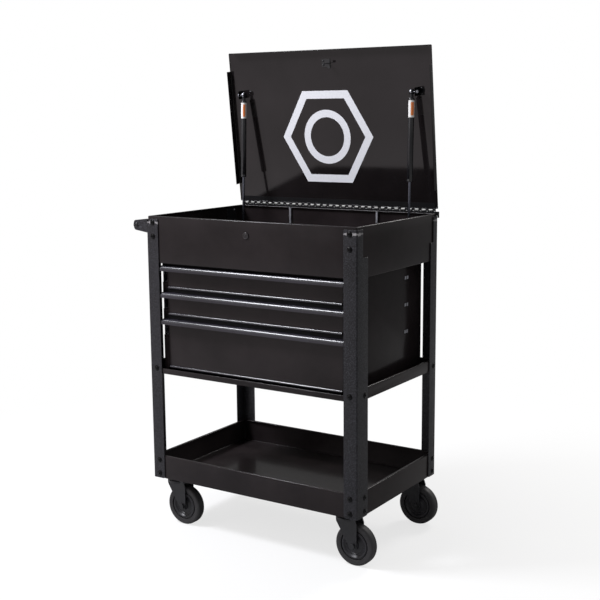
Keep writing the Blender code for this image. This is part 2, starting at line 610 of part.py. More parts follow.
# ---- handle -------------------------------------------------------------------------------------
def add_handle(cart):
    wall = -HALF_X - GAP
    bar_x = -HALF_X - HANDLE_REACH + HANDLE_NOSE_RADIUS
    low, high = HANDLE_Z
    nose = arc((bar_x, HANDLE_BAR_Z), HANDLE_NOSE_RADIUS, 112, 236, 6)
    outline = [(wall, low), (wall, high)] + nose
    for end, where in ((-1, "front"), (1, "rear")):
        outer = end * (HALF_Y - 0.004)
        inner = end * (HALF_Y - 0.004 - HANDLE_SHEET)
        plate = extruded(f"handle_bracket_{where}", outline, "Y", *sorted((outer, inner)), smooth=True)
        foot_in = end * (HALF_Y - 0.027)
        foot = block("foot", (wall - HANDLE_SHEET, min(inner - end * 0.001, foot_in), low + 0.001),
                     (wall, max(inner - end * 0.001, foot_in), high - 0.001))
        foot_outer = inner + end * 0.001
        foot = block("foot", (wall - HANDLE_SHEET, min(foot_outer, foot_in), low + 0.001),
                     (wall - 0.0001, max(foot_outer, foot_in), high - 0.001))
        piece(f"handle_bracket_{where}", combined(plate, [foot]), "hammered_black", cart)
    half = HALF_Y - 0.004 - HANDLE_SHEET - GAP
    bar = turned("handle_bar", rod_profile(HANDLE_BAR_RADIUS, -half, half), 20, "Y", (bar_x, 0, HANDLE_BAR_Z))
    piece("handle_bar", bar, "hammered_black", cart)


# ---- casters ------------------------------------------------------------------------------------
def caster_plate_mesh():
    """The top plate, its bearing cup and its kingpin, about the point under the tray's floor."""
    length, width, thickness = CASTER_PLATE
    plate = block("caster_plate", (-length / 2, -width / 2, -thickness), (length / 2, width / 2, 0))
    cup = turned("cup", [(0, -0.001), (0.029, -0.001), (0.029, -0.0055), (0.025, -0.0085), (0.006, -0.0085),
                         (0.006, -0.0200), (0.011, -0.0200), (0.011, -0.0240), (0, -0.0240)], 20)
    return combined(plate, [cup])


def fork_mesh():
    """The swivelling fork with its axle, about the same point."""
    crown_top, crown_low = -0.0088, -0.0195
    axle_z = WHEEL_FLAT_RADIUS - LOWER_TRAY_Z[0] + GAP
    reach = WHEEL_WIDTH / 2 + 0.0035
    crown = turned("caster_fork", [(0.0063, crown_top), (0.030, crown_top), (0.033, crown_top - 0.003),
                                   (0.033, crown_low + 0.007), (0.0063, crown_low + 0.007)], 24)
    foot = arc((CASTER_TRAIL, axle_z), 0.013, -10, -150, 6)
    outline = [(0.036, crown_top - 0.001), (0.043, crown_top - 0.020)] + foot + [(-0.031, crown_top - 0.006),
                                                                                 (-0.028, crown_top - 0.001)]
    parts = []
    for side in (-1, 1):
        near, far = side * reach, side * (reach + FORK_SHEET)
        parts.append(extruded(f"leg_{side}", outline, "Y", *sorted((near, far))))
    bridge = [(-reach - 0.0005, crown_top - 0.0012), (reach + 0.0005, crown_top - 0.0012),
              (reach + 0.0005, crown_top - 0.0037), (-reach - 0.0005, crown_top - 0.0037)]
    deck = extruded("deck", bridge, "X", -0.0278, 0.0355)
    hole = turned("pin_hole", rod_profile(0.0063, crown_low - 0.01, 0.01), 24)
    deck = combined(deck, [hole], "DIFFERENCE")
    axle = turned("axle", rod_profile(AXLE_RADIUS, -reach - 0.007, reach + 0.007), 16, "Y",
                  (CASTER_TRAIL, 0, axle_z))
    return combined(crown, [deck] + parts + [axle])


def wheel_mesh():
    """Tyre, rim and hub as one moulding, about the axle."""
    half = WHEEL_WIDTH / 2
    outer = WHEEL_CORNER_RADIUS
    profile = [(AXLE_RADIUS + GAP, -half - 0.002), (0.013, -half - 0.002), (0.0145, -half + 0.006),
               (0.040, -half + 0.006), (0.043, -half + 0.001), (outer - 0.010, -half),
               (outer - 0.002, -half + 0.006), (outer, -half + 0.011)]
    profile += [(r, -h) for r, h in profile[::-1]]
    return turned("caster_wheel", profile, WHEEL_FACETS, "Y", half_step=True)


def add_casters(cart):
    plate, fork, wheel = caster_plate_mesh(), fork_mesh(), wheel_mesh()
    top = LOWER_TRAY_Z[0] - GAP
    for side, hand in ((-1, "left"), (1, "right")):
        for end, where in ((-1, "front"), (1, "rear")):
            label = f"{where}_{hand}"
            place = (side * CASTER_X, end * CASTER_Y, top)
            piece(f"caster_plate_{label}", plate, "caster_black", cart, place)
            swivel = pivot(f"caster_{label}_swivel", place, cart)
            piece(f"caster_fork_{label}", fork, "caster_black", swivel)
            piece(f"caster_wheel_{label}", wheel, "rubber", swivel, (CASTER_TRAIL, 0, WHEEL_FLAT_RADIUS - top))


# ---- the cart -----------------------------------------------------------------------------------
def main():
    for old in list(bpy.data.objects):
        bpy.data.objects.remove(old)
    cart = pivot("cart", -CENTRE)
    add_posts(cart)
    add_trays(cart)
    add_till(cart)
    add_cabinet(cart)
    for level in DRAWER_LEVELS:
        add_drawer(cart, level)
    lid_pivot = pivot("lid_pivot", (0, HINGE_Y, HINGE_Z), cart, -LID_OPEN)
    add_lid(lid_pivot)
    add_hinge(cart, lid_pivot)
    add_strike(lid_pivot)
    for side, where in ((-1, "left"), (1, "right")):
        add_strut(cart, lid_pivot, side, where)
    add_lock(cart)
    add_handle(cart)
    add_casters(cart)


main()
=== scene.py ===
"""Looks for the rolling tool cart: sheet metal, coatings, fasteners and casters on the fixed frame.

Lengths are metres, +Z is up, the drawers face -Y and the push handle is on the -X end. Shapes are drawn
in the cart's own frame, with the floor at z = 0 and the posts centred on x = y = 0, and moved to the
loaded frame as they are made.
"""

import json
import math

import bmesh
import bpy
from bpy.props import FloatProperty, FloatVectorProperty, PointerProperty
from mathutils import Matrix, Vector


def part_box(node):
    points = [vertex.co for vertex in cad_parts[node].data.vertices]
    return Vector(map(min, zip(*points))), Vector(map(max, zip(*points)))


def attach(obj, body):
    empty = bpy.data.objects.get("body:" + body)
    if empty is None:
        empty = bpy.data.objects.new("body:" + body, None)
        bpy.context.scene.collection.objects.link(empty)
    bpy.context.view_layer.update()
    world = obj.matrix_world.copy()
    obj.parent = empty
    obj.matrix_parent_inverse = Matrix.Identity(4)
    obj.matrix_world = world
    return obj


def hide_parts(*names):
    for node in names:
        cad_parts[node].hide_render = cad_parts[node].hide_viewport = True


bl_info = {
    "name": "Rolling tool cart finish",
    "version": (1, 0, 0),
    "blender": (4, 5, 0),
    "location": "3D View > Sidebar > Tool cart",
    "description": "Builds a rolling tool cart: sheet metal, coatings, fasteners and casters",
    "category": "Object",
}

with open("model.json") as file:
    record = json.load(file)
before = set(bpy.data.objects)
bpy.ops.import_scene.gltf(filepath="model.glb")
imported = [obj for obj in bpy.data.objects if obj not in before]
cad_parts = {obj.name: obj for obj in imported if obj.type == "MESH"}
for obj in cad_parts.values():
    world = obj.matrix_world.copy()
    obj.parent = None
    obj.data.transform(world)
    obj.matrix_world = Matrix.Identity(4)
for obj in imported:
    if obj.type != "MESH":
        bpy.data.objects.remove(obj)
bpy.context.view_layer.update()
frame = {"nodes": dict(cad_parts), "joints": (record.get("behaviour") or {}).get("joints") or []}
JOINTS = {joint["name"]: joint for joint in frame["joints"]}


def middle_of(node):
    low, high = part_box(node)
    return (low + high) / 2


# ---- places taken from the frame -----------------------------------------------------------------
TRAY_LOW, TRAY_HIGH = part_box("lower_tray")
CART = Vector(((TRAY_LOW.x + TRAY_HIGH.x) / 2, (TRAY_LOW.y + TRAY_HIGH.y) / 2, 0))
TRAY_HALF_X = (TRAY_HIGH.x - TRAY_LOW.x) / 2
TRAY_HALF_Y = (TRAY_HIGH.y - TRAY_LOW.y) / 2
LOWER_TRAY_Z = (TRAY_LOW.z, TRAY_HIGH.z)
MIDDLE_TRAY_Z = tuple(corner.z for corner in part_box("middle_tray"))
TILL_Z = tuple(corner.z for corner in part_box("till_box"))
POST_Z = tuple(corner.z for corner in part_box("post_front_left"))
CABINET = tuple(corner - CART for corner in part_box("cabinet_shell"))
HINGE = Vector(JOINTS["lid_hinge"]["pos_m"])
LID_OPEN = math.radians(JOINTS["lid_hinge"]["range_deg"][1])
LID_PLACE = Matrix.Translation(HINGE) @ Matrix.Rotation(-LID_OPEN, 4, "X")
CART_PLACE = Matrix.Translation(CART)

# ---- fixed sizes of the frame's own design -------------------------------------------------------
GAP = 0.0003
POST_SHEET = 0.0025
HALF_X = TRAY_HALF_X + GAP + POST_SHEET
HALF_Y = TRAY_HALF_Y + GAP + POST_SHEET
POST_NECK_Z = 0.9155
FRONT_POST = {"face": 0.045, "flank": 0.062, "neck": 0.0335, "bolt": 0.0448}
REAR_POST = {"face": 0.0475, "flank": 0.045, "neck": 0.028, "bolt": 0.0165}
BOLT_FACE_INSET = 0.0245
BOLT_LEVELS = (0.1715, 0.2165, 0.5200, 0.9410, 0.9840)
SIDE_BOLT_LEVELS = (0.1715, 0.2130, 0.5185)
BOLT_HEAD = 0.0035
MIDDLE_FRONT_LIP_Z = 0.520
RIM = 0.009
SHEET = 0.0012
TRAY_SHEET = 0.0015
LOCK_Z = middle_of("lock_plug").z
LID_TOP = 1.0175 - HINGE.z
LID_LIP = 0.9955 - HINGE.z
LID_SETBACK = 0.0045
FLANGE_CLIP = 0.060
KNUCKLE_PITCH = 0.0245
KNUCKLE_WIDTH = 0.00485
KNUCKLE_PAIRS = 31
STRUT_X = 0.317
STRUT_ON_LID = (0.370, 0.018)
STRUT_ON_FRAME = (0.1765, 0.935)
CASTER_TRAIL = 0.030
DRAWERS = ("upper", "middle", "lower")
SIDES = ((-1, "left"), (1, "right"))
ENDS = ((-1, "front"), (1, "rear"))
NEAR = 1e-5


# ---- settings a user would change ----------------------------------------------------------------
class CartSizes(bpy.types.PropertyGroup):
    """Roundings and small sizes of the finish."""
    post_bend: FloatProperty(name="Post bend", description="Outer radius of the posts' fold",
                             default=0.0045, unit="LENGTH")
    tray_fold: FloatProperty(name="Tray fold", description="Outer radius of the trays' rolled rims",
                             default=0.0030, unit="LENGTH")
    tray_corner: FloatProperty(name="Tray corner", description="Radius of the trays' upright corners",
                               default=0.0045, unit="LENGTH")
    lid_fold: FloatProperty(name="Lid fold", description="Outer radius of the lid's folded edges",
                            default=0.0028, unit="LENGTH")
    edge: FloatProperty(name="Cut edge", description="Rounding of cut sheet edges",
                        default=0.0004, unit="LENGTH")
    tread_round: FloatProperty(name="Tread shoulder", description="Radius of the tyres' shoulders",
                               default=0.0075, unit="LENGTH")


class CartColours(bpy.types.PropertyGroup):
    """Base colours of the finishes."""
    hammered: FloatVectorProperty(name="Hammered black", description="Posts, handle and hinge",
                                  subtype="COLOR", size=3, default=(0.0062, 0.0059, 0.0080))
    panel: FloatVectorProperty(name="Panel black", description="Trays, till, cabinet and drawers",
                               subtype="COLOR", size=3, default=(0.0150, 0.0118, 0.0124))
    lid: FloatVectorProperty(name="Lid black", description="Gloss coat of the lid",
                             subtype="COLOR", size=3, default=(0.0090, 0.0074, 0.0078))
    pull: FloatVectorProperty(name="Pull black", description="Rolled drawer pulls",
                              subtype="COLOR", size=3, default=(0.0150, 0.0140, 0.0200))
    zinc: FloatVectorProperty(name="Zinc", description="Slides, brackets and small steel parts",
                              subtype="COLOR", size=3, default=(0.50, 0.51, 0.56))
    rubber: FloatVectorProperty(name="Rubber", description="Tyres",
                                subtype="COLOR", size=3, default=(0.0200, 0.0188, 0.0205))
    stripe: FloatVectorProperty(name="Label stripe", description="Stripe on the struts' labels",
                                subtype="COLOR", size=3, default=(0.80, 0.22, 0.05))


class StageSettings(bpy.types.PropertyGroup):
    """Floor and light."""
    floor_tone: FloatProperty(name="Floor tone", description="Lightness of the floor", default=0.93,
                              min=0, max=1)
    bounce: FloatProperty(name="Floor bounce", description="Tone of the floor as the cart mirrors it",
                          default=0.50,
                          min=0, max=1)
    sky: FloatProperty(name="Surround", description="Strength of the even light all round", default=0.38,
                       min=0)
    key: FloatProperty(name="Key light", description="Power of the main soft light in watts", default=14,
                       min=0)
    top: FloatProperty(name="Top light", description="Power of the light overhead in watts", default=120,
                       min=0)
    rear: FloatProperty(name="Rear light", description="Power of the light behind in watts", default=48,
                        min=0)
    panel: FloatProperty(name="Low panel", description="Power of the low soft light in watts",
                         default=5.8, min=0)


# ---- shape tools ---------------------------------------------------------------------------------
def arc(centre, radius, start, end, steps=4):
    """Points on an arc, angles in degrees."""
    turns = [math.radians(start + (end - start) * i / steps) for i in range(steps + 1)]
    return [(centre[0] + radius * math.cos(t), centre[1] + radius * math.sin(t)) for t in turns]


def filleted(points, radius, steps=4):
    """An open path with its inner corners rounded."""
    points = [Vector(p) for p in points]
    path = [points[0]]
    for before, corner, after in zip(points, points[1:], points[2:]):
        back, ahead = (before - corner).normalized(), (after - corner).normalized()
        half = back.angle(ahead) / 2
        centre = corner + (back + ahead).normalized() * radius / math.sin(half)
        spoke = corner + back * radius / math.tan(half) - centre
        sweep = math.pi - 2 * half
        if back.x * ahead.y - back.y * ahead.x > 0:
            sweep = -sweep
        for i in range(steps + 1):
            path.append(centre + Matrix.Rotation(sweep * i / steps, 2) @ spoke)
    return path + [points[-1]]


def sheet_outline(path, thickness):
    """The outline of a bent sheet: its path, and the path moved by the thickness to its left."""
    points = [Vector(p) for p in path]
    moved = []
    for i, point in enumerate(points):
        before = (point - points[i - 1]).normalized() if i else None
        after = (points[i + 1] - point).normalized() if i < len(points) - 1 else None
        normals = [Vector((-d.y, d.x)) for d in (before, after) if d is not None]
        middle = sum(normals, Vector((0, 0))).normalized()
        moved.append(point + middle * thickness / middle.dot(normals[0]))
    return [tuple(p) for p in points + moved[::-1]]


def grown(bm, face, first=False):
    """The new end face of a face drawn out. The face itself stays only as a closed start."""
    if first:
        faces = bmesh.ops.extrude_face_region(bm, geom=[face])["geom"]
    else:
        faces = bmesh.ops.extrude_discrete_faces(bm, faces=[face])["faces"]
    return next(f for f in faces if isinstance(f, bmesh.types.BMFace))


def drawn(outline, axis, start, end):
    """An outline in the plane across an axis (YZ, XZ or XY), drawn out along it."""
    across = {"X": (1, 2), "Y": (0, 2), "Z": (0, 1)}[axis]
    along = "XYZ".index(axis)
    bm = bmesh.new()
    corners = []
    for point in outline:
        place = [start] * 3
        place[across[0]], place[across[1]] = point
        corners.append(bm.verts.new(place))
    face = grown(bm, bm.faces.new(corners), first=True)
    for vert in face.verts:
        vert.co[along] = end
    bmesh.ops.recalc_face_normals(bm, faces=bm.faces)
    return bm


def block(low, high):
    """A box between two corners."""
    low, high = Vector(map(min, low, high)), Vector(map(max, low, high))
    bm = bmesh.new()
    bmesh.ops.create_cube(bm, size=1)
    bmesh.ops.scale(bm, verts=bm.verts, vec=high - low)
    bmesh.ops.translate(bm, verts=bm.verts, vec=(low + high) / 2)
    return bm


def pan(half_x, half_y, corner, profile, steps=4):
    """A box with rounded upright corners, drawn in one go. The profile holds (inset, z) from under the
    floor, up the outside, over the rim and down to the inside of the floor."""
    bm = bmesh.new()

    def ring(inset, z):
        radius = max(corner - inset, 0.0003)
        points = []
        for side, end, start in ((1, 1, 0), (-1, 1, 90), (-1, -1, 180), (1, -1, 270)):
            middle = (side * (half_x - inset - radius), end * (half_y - inset - radius))
            points += [(x, y, z) for x, y in arc(middle, radius, start, start + 90, steps)]
        return points
    old = ring(*profile[0])
    face = bm.faces.new([bm.verts.new(p) for p in old])
    for i, step in enumerate(profile[1:]):
        face = grown(bm, face, first=i == 0)
        new = ring(*step)
        for vert in face.verts:
            nearest = min(range(len(old)), key=lambda k: (vert.co - Vector(old[k])).length_squared)
            vert.co = new[nearest]
        old = new
    bmesh.ops.recalc_face_normals(bm, faces=bm.faces)
    return bm


def turned(profile, facets, axis="Z", centre=(0, 0, 0)):
    """A profile of (radius, height) spun about an axis. One that starts and ends on the axis is solid, and
    one that stays off the axis is a closed ring."""
    bm = bmesh.new()
    points = [bm.verts.new((r, 0, h)) for r, h in profile]
    pairs = list(zip(points, points[1:]))
    if profile[0][0] > 0 and profile[-1][0] > 0:
        pairs.append((points[-1], points[0]))
    edges = [bm.edges.new(pair) for pair in pairs]
    bmesh.ops.spin(bm, geom=points + edges, cent=(0, 0, 0), axis=(0, 0, 1),
                   angle=2 * math.pi, steps=facets, use_merge=True)
    bmesh.ops.remove_doubles(bm, verts=bm.verts, dist=1e-6)
    bmesh.ops.recalc_face_normals(bm, faces=bm.faces)
    turn = {"Z": Matrix.Identity(3), "X": Matrix.Rotation(math.pi / 2, 3, "Y"),
            "Y": Matrix.Rotation(-math.pi / 2, 3, "X")}[axis]
    bmesh.ops.rotate(bm, verts=bm.verts, cent=(0, 0, 0), matrix=turn)
    bmesh.ops.translate(bm, verts=bm.verts, vec=centre)
    return bm


def rod(radius, low, high, round_end=0.0):
    """A turned profile for a plain rod, its ends rounded off."""
    if not round_end:
        return [(0, low), (radius, low), (radius, high), (0, high)]
    foot = arc((radius - round_end, low + round_end), round_end, 270, 360, 3)
    head = arc((radius - round_end, high - round_end), round_end, 0, 90, 3)
    return [(0, low)] + foot + head + [(0, high)]


def soften(bm, radius, segments, chosen):
    """Bevels the edges whose two ends both answer to chosen(point)."""
    edges = [e for e in bm.edges if all(chosen(v.co) for v in e.verts)]
    if not edges:
        raise RuntimeError("no edge was found to soften")
    bmesh.ops.bevel(bm, geom=edges, offset=radius, segments=segments, profile=0.5,
                    affect="EDGES", material=-1, clamp_overlap=True)
    return bm


def as_mesh(bm, name="shape"):
    mesh = bpy.data.meshes.new(name)
    bm.to_mesh(mesh)
    bm.free()
    return mesh


def carved(shape, tools, operation="DIFFERENCE"):
    """The shape joined with, or cut by, the tools with exact Booleans, as a mesh."""
    stand_in = bpy.data.objects.new("carved", as_mesh(shape)
                                    if isinstance(shape, bmesh.types.BMesh) else shape)
    bpy.context.scene.collection.objects.link(stand_in)
    used = [stand_in]
    for tool_shape in tools:
        mesh = as_mesh(tool_shape) if isinstance(tool_shape, bmesh.types.BMesh) else tool_shape
        tool = bpy.data.objects.new("tool", mesh)
        bpy.context.scene.collection.objects.link(tool)
        modifier = stand_in.modifiers.new("carve", "BOOLEAN")
        modifier.operation = operation
        modifier.solver = "EXACT"
        modifier.object = tool
        used.append(tool)
    graph = bpy.context.evaluated_depsgraph_get()
    result = bpy.data.meshes.new_from_object(stand_in.evaluated_get(graph))
    for done in used:
        bpy.data.objects.remove(done)
    return result


def hexagon(radius, centre=(0.0, 0.0), turn=0):
    """The six corners of a hexagon, turned by an angle in degrees."""
    angles = [math.radians(60 * i + turn) for i in range(6)]
    return [(centre[0] + radius * math.cos(a), centre[1] + radius * math.sin(a)) for a in angles]


def copies(mesh, places):
    """One mesh with a copy of the given one at each place."""
    bm = bmesh.new()
    for place in places:
        copy = mesh.copy()
        copy.transform(place)
        bm.from_mesh(copy)
        bpy.data.meshes.remove(copy)
    return bm


def facing(point, outward):
    """The place of a shape drawn along +Z, standing at a point and facing outward."""
    turn = Vector((0, 0, 1)).rotation_difference(Vector(outward)).to_matrix().to_4x4()
    return Matrix.Translation(point) @ turn


def piece(name, shape, finish, body, replaces=(), place=CART_PLACE, edge=0.0, sharp=35):
    """A finished piece: its mesh moved into the loaded frame, its coat, and the body that it rides on."""
    mesh = as_mesh(shape, name) if isinstance(shape, bmesh.types.BMesh) else shape
    mesh.name = name
    mesh.transform(place)
    if place.determinant() < 0:
        mesh.flip_normals()
    mesh.materials.clear()
    mesh.materials.append(FINISHES[finish]())
    mesh.shade_smooth()
    mesh.set_sharp_from_angle(angle=math.radians(sharp))
    made = bpy.data.objects.new(name, mesh)
    bpy.context.scene.collection.objects.link(made)
    if edge:
        bevel = made.modifiers.new("cut_edges", "BEVEL")
        bevel.width = edge
        bevel.segments = 2
        bevel.limit_method = "ANGLE"
        bevel.angle_limit = math.radians(40)
        bevel.use_clamp_overlap = True
        bevel.harden_normals = False
    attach(made, body)
    if replaces:
        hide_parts(*replaces)
    return made


def dress(node, finish):
    """Gives a carried-over node its coat."""
    mesh = frame["nodes"][node].data
    mesh.materials.clear()
    mesh.materials.append(FINISHES[finish]())


# ---- surface effects -----------------------------------------------------------------------------
def new_group(name, inputs, outputs):
    """An empty node group with plain number sockets."""
    tree = bpy.data.node_groups.new(name, "ShaderNodeTree")
    for label, default in inputs:
        tree.interface.new_socket(label, in_out="INPUT",
                                  socket_type="NodeSocketFloat").default_value = default
    for label in outputs:
        tree.interface.new_socket(label, in_out="OUTPUT", socket_type="NodeSocketFloat")
    return tree, tree.nodes.new("NodeGroupInput"), tree.nodes.new("NodeGroupOutput")


def node(tree, kind, values=(), **settings):
    """A node with its settings, its inputs set or linked: (socket, value or output socket)."""
    made = tree.nodes.new(kind)
    for name, value in settings.items():
        setattr(made, name, value)
    for socket, value in values:
        if isinstance(value, bpy.types.NodeSocket):
            tree.links.new(value, made.inputs[socket])
        else:
            made.inputs[socket].default_value = value
    return made


def noise(tree, place, scale, detail=2.0, roughness=0.5):
    values = [("Vector", place), ("Scale", scale), ("Detail", detail), ("Roughness", roughness)]
    return node(tree, "ShaderNodeTexNoise", values).outputs["Fac"]


def math_node(tree, operation, a, b=0.0, clamp=False):
    return node(tree, "ShaderNodeMath", [(0, a), (1, b)], operation=operation, use_clamp=clamp).outputs[0]


def ramp(tree, value, low, high, to_low=0.0, to_high=1.0):
    """Spreads a value between two limits."""
    values = [("Value", value), ("From Min", low), ("From Max", high), ("To Min", to_low),
              ("To Max", to_high)]
    return node(tree, "ShaderNodeMapRange", values, clamp=True).outputs["Result"]


def place_of(tree):
    return node(tree, "ShaderNodeTexCoord").outputs["Object"]


def powder_grain():
    """Fine orange peel of a powder coat, with slow changes of tone."""
    tree, given, out = new_group("powder_grain", [("Scale", 900.0), ("Depth", 1.0)],
                                 ["Height", "Tone", "Speckle"])
    place = place_of(tree)
    fine = noise(tree, place, given.outputs["Scale"], 2.0, 0.6)
    coarse_scale = math_node(tree, "MULTIPLY", given.outputs["Scale"], 0.27)
    coarse = noise(tree, place, coarse_scale, 1.0, 0.5)
    height = math_node(tree, "ADD", math_node(tree, "MULTIPLY", fine, 0.6),
                       math_node(tree, "MULTIPLY", coarse, 0.4))
    height = math_node(tree, "MULTIPLY", height, given.outputs["Depth"])
    tree.links.new(height, out.inputs["Height"])
    tree.links.new(ramp(tree, noise(tree, place, 5.0, 4.0, 0.55), 0.3, 0.7), out.inputs["Tone"])
    tree.links.new(ramp(tree, fine, 0.52, 0.72), out.inputs["Speckle"])
    return tree


def hammer_grain():
    """The crinkle of a hammered coat: small raised cells with dark seams."""
    tree, given, out = new_group("hammer_grain", [("Scale", 330.0), ("Depth", 1.0)],
                                 ["Height", "Tone", "Speckle"])
    place = place_of(tree)
    warp = node(tree, "ShaderNodeTexNoise",
                [("Vector", place), ("Scale", given.outputs["Scale"]), ("Detail", 1.0)])
    shift = node(tree, "ShaderNodeVectorMath", [(0, warp.outputs["Color"]), ("Scale", 0.0016)],
                 operation="SCALE")
    moved = node(tree, "ShaderNodeVectorMath", [(0, place), (1, shift.outputs[0])], operation="ADD")
    cells = node(tree, "ShaderNodeTexVoronoi",
                 [("Vector", moved.outputs[0]), ("Scale", given.outputs["Scale"]), ("Smoothness", 0.7)],
                 feature="SMOOTH_F1")
    dome = math_node(tree, "SUBTRACT", 1.0, cells.outputs["Distance"])
    pits = noise(tree, place, given.outputs["Scale"], 3.0, 0.6)
    height = math_node(tree, "ADD", math_node(tree, "MULTIPLY", dome, 0.55),
                       math_node(tree, "MULTIPLY", pits, 0.45))
    tree.links.new(math_node(tree, "MULTIPLY", height, given.outputs["Depth"]), out.inputs["Height"])
    tree.links.new(ramp(tree, noise(tree, place, 9.0, 4.0, 0.6), 0.3, 0.7), out.inputs["Tone"])
    tree.links.new(ramp(tree, height, 0.50, 0.68), out.inputs["Speckle"])
    return tree


def edge_wear():
    """Where a coat is rubbed through: convex edges, broken up by noise."""
    tree, given, out = new_group("edge_wear", [("Width", 0.0012), ("Share", 0.5)], ["Mask"])
    place = place_of(tree)
    rounded = node(tree, "ShaderNodeBevel", [("Radius", given.outputs["Width"])], samples=4)
    true = node(tree, "ShaderNodeNewGeometry")
    agree = node(tree, "ShaderNodeVectorMath", [(0, rounded.outputs[0]), (1, true.outputs["Normal"])],
                 operation="DOT_PRODUCT")
    edge = ramp(tree, agree.outputs["Value"], 0.995, 0.90)
    patches = noise(tree, place, 38.0, 6.0, 0.7)
    threshold = math_node(tree, "SUBTRACT", 0.85,
                          math_node(tree, "MULTIPLY", given.outputs["Share"], 0.5))
    high = math_node(tree, "ADD", threshold, 0.08)
    worn = ramp(tree, patches, threshold, high)
    tree.links.new(math_node(tree, "MULTIPLY", edge, worn), out.inputs["Mask"])
    return tree


def painted_highlight_band():
    """Painted highlight: a broken band of lighter metal colour at one height, standing in for light caught
    round the posts' top bolts.
    """
    tree, given, out = new_group("painted_highlight_band", [("Level", 0.0), ("Half Height", 0.004)], ["Mask"])
    place = place_of(tree)
    height = node(tree, "ShaderNodeSeparateXYZ", [(0, place)]).outputs["Z"]
    away = math_node(tree, "ABSOLUTE", math_node(tree, "SUBTRACT", height, given.outputs["Level"]))
    share = math_node(tree, "DIVIDE", away, given.outputs["Half Height"])
    ragged = math_node(tree, "ADD", share,
                       ramp(tree, noise(tree, place, 75.0, 5.0, 0.7), 0.3, 0.7, -0.6, 1.0))
    tree.links.new(ramp(tree, ragged, 1.0, 0.6, 0.0, 0.8), out.inputs["Mask"])
    return tree


def dust_film():
    """Dust that settles on faces turned up, thicker in patches."""
    tree, given, out = new_group("dust_film", [("Amount", 0.1)], ["Mask"])
    place = place_of(tree)
    true = node(tree, "ShaderNodeNewGeometry")
    up = node(tree, "ShaderNodeSeparateXYZ", [(0, true.outputs["Normal"])]).outputs["Z"]
    level = ramp(tree, up, 0.35, 1.0)
    patches = ramp(tree, noise(tree, place, 14.0, 6.0, 0.65), 0.35, 0.8)
    specks = ramp(tree, noise(tree, place, 620.0, 2.0, 0.5), 0.60, 0.75)
    film = math_node(tree, "ADD", math_node(tree, "MULTIPLY", patches, 0.7),
                     math_node(tree, "MULTIPLY", specks, 0.3))
    film = math_node(tree, "MULTIPLY", math_node(tree, "MULTIPLY", film, level), given.outputs["Amount"])
    tree.links.new(film, out.inputs["Mask"])
    return tree


def rubbed_lines():
    """Fine drawn lines, as on ground or brushed steel, running along one axis."""
    tree, given, out = new_group("rubbed_lines", [("Along X", 1.0), ("Along Y", 1.0), ("Along Z", 1.0)],
                                 ["Height", "Tone"])
    stretch = node(tree, "ShaderNodeCombineXYZ", [(i, given.outputs[i]) for i in range(3)])
    place = node(tree, "ShaderNodeVectorMath", [(0, place_of(tree)), (1, stretch.outputs[0])],
                 operation="MULTIPLY")
    lines = noise(tree, place.outputs[0], 60.0, 5.0, 0.7)
    tree.links.new(lines, out.inputs["Height"])
    tree.links.new(ramp(tree, lines, 0.3, 0.7), out.inputs["Tone"])
    return tree


GROUPS = {"powder_grain": powder_grain, "hammer_grain": hammer_grain, "edge_wear": edge_wear,
          "painted_highlight_band": painted_highlight_band,
          "dust_film": dust_film, "rubbed_lines": rubbed_lines}


def effect(tree, name, **values):
    """One use of a surface effect in a material, with its own values."""
    group = bpy.data.node_groups.get(name) or GROUPS[name]()
    made = tree.nodes.new("ShaderNodeGroup")
    made.node_tree = group
    for label, value in values.items():
        made.inputs[label.replace("_", " ")].default_value = value
    return made.outputs


def blended(tree, share, first, second):
    """A colour between two, by a changing share."""
    made = node(tree, "ShaderNodeMix", data_type="RGBA")
    for socket, value in ((0, share), (6, first), (7, second)):
        if isinstance(value, bpy.types.NodeSocket):
            tree.links.new(value, made.inputs[socket])
        else:
            made.inputs[socket].default_value = value if socket == 0 else (*value, 1)
    return made.outputs[2]


def bumped(tree, height, strength, distance):
    return node(tree, "ShaderNodeBump", [("Height", height), ("Strength", strength),
                                         ("Distance", distance)]).outputs[0]


# ---- finishes ------------------------------------------------------------------------------------
def coat(name, colour, grain, scale, depth, rough, wear=0.3, dust=0.1, spread=0.35, specular=0.45,
         coating=0.0,
         speckle=0.0, wear_width=0.0012, highlight_levels=()):
    """A coat over steel: tone and grain, rubbed edges that show the metal, a little dust, and any painted
    highlight bands that are given.
    """
    made = bpy.data.materials.new(name)
    made.use_nodes = True
    tree = made.node_tree
    shader = tree.nodes["Principled BSDF"]
    surface = effect(tree, grain, Scale=scale)
    dark = tuple(c * (1 - spread) for c in colour)
    light = tuple(c * (1 + spread) for c in colour)
    base = blended(tree, surface["Tone"], dark, light)
    if speckle:
        lift = math_node(tree, "MULTIPLY", surface["Speckle"], speckle)
        base = blended(tree, lift, base, (0.11, 0.11, 0.13))
    worn = effect(tree, "edge_wear", Width=wear_width, Share=wear)["Mask"]
    # Highlight levels add painted highlight bands to the worn mask, so the lighter metal colour below is
    # real edge wear and painted highlight both.
    for level, half_height in highlight_levels:
        painted_highlight = effect(tree, "painted_highlight_band", Level=level, Half_Height=half_height)["Mask"]
        worn = math_node(tree, "MAXIMUM", worn, painted_highlight)
    base = blended(tree, worn, base, (0.42, 0.41, 0.42))
    film = effect(tree, "dust_film", Amount=dust)["Mask"]
    base = blended(tree, film, base, (0.30, 0.28, 0.26))
    tree.links.new(base, shader.inputs["Base Color"])
    roughness = ramp(tree, surface["Tone"], 0.0, 1.0, *rough)
    roughness = math_node(tree, "ADD", roughness, math_node(tree, "MULTIPLY", film, 0.5), clamp=True)
    tree.links.new(roughness, shader.inputs["Roughness"])
    tree.links.new(math_node(tree, "MULTIPLY", worn, 0.9), shader.inputs["Metallic"])
    tree.links.new(bumped(tree, surface["Height"], 1.0, depth), shader.inputs["Normal"])
    shader.inputs["Specular IOR Level"].default_value = specular
    shader.inputs["Coat Weight"].default_value = coating
    shader.inputs["Coat Roughness"].default_value = 0.12
    return made


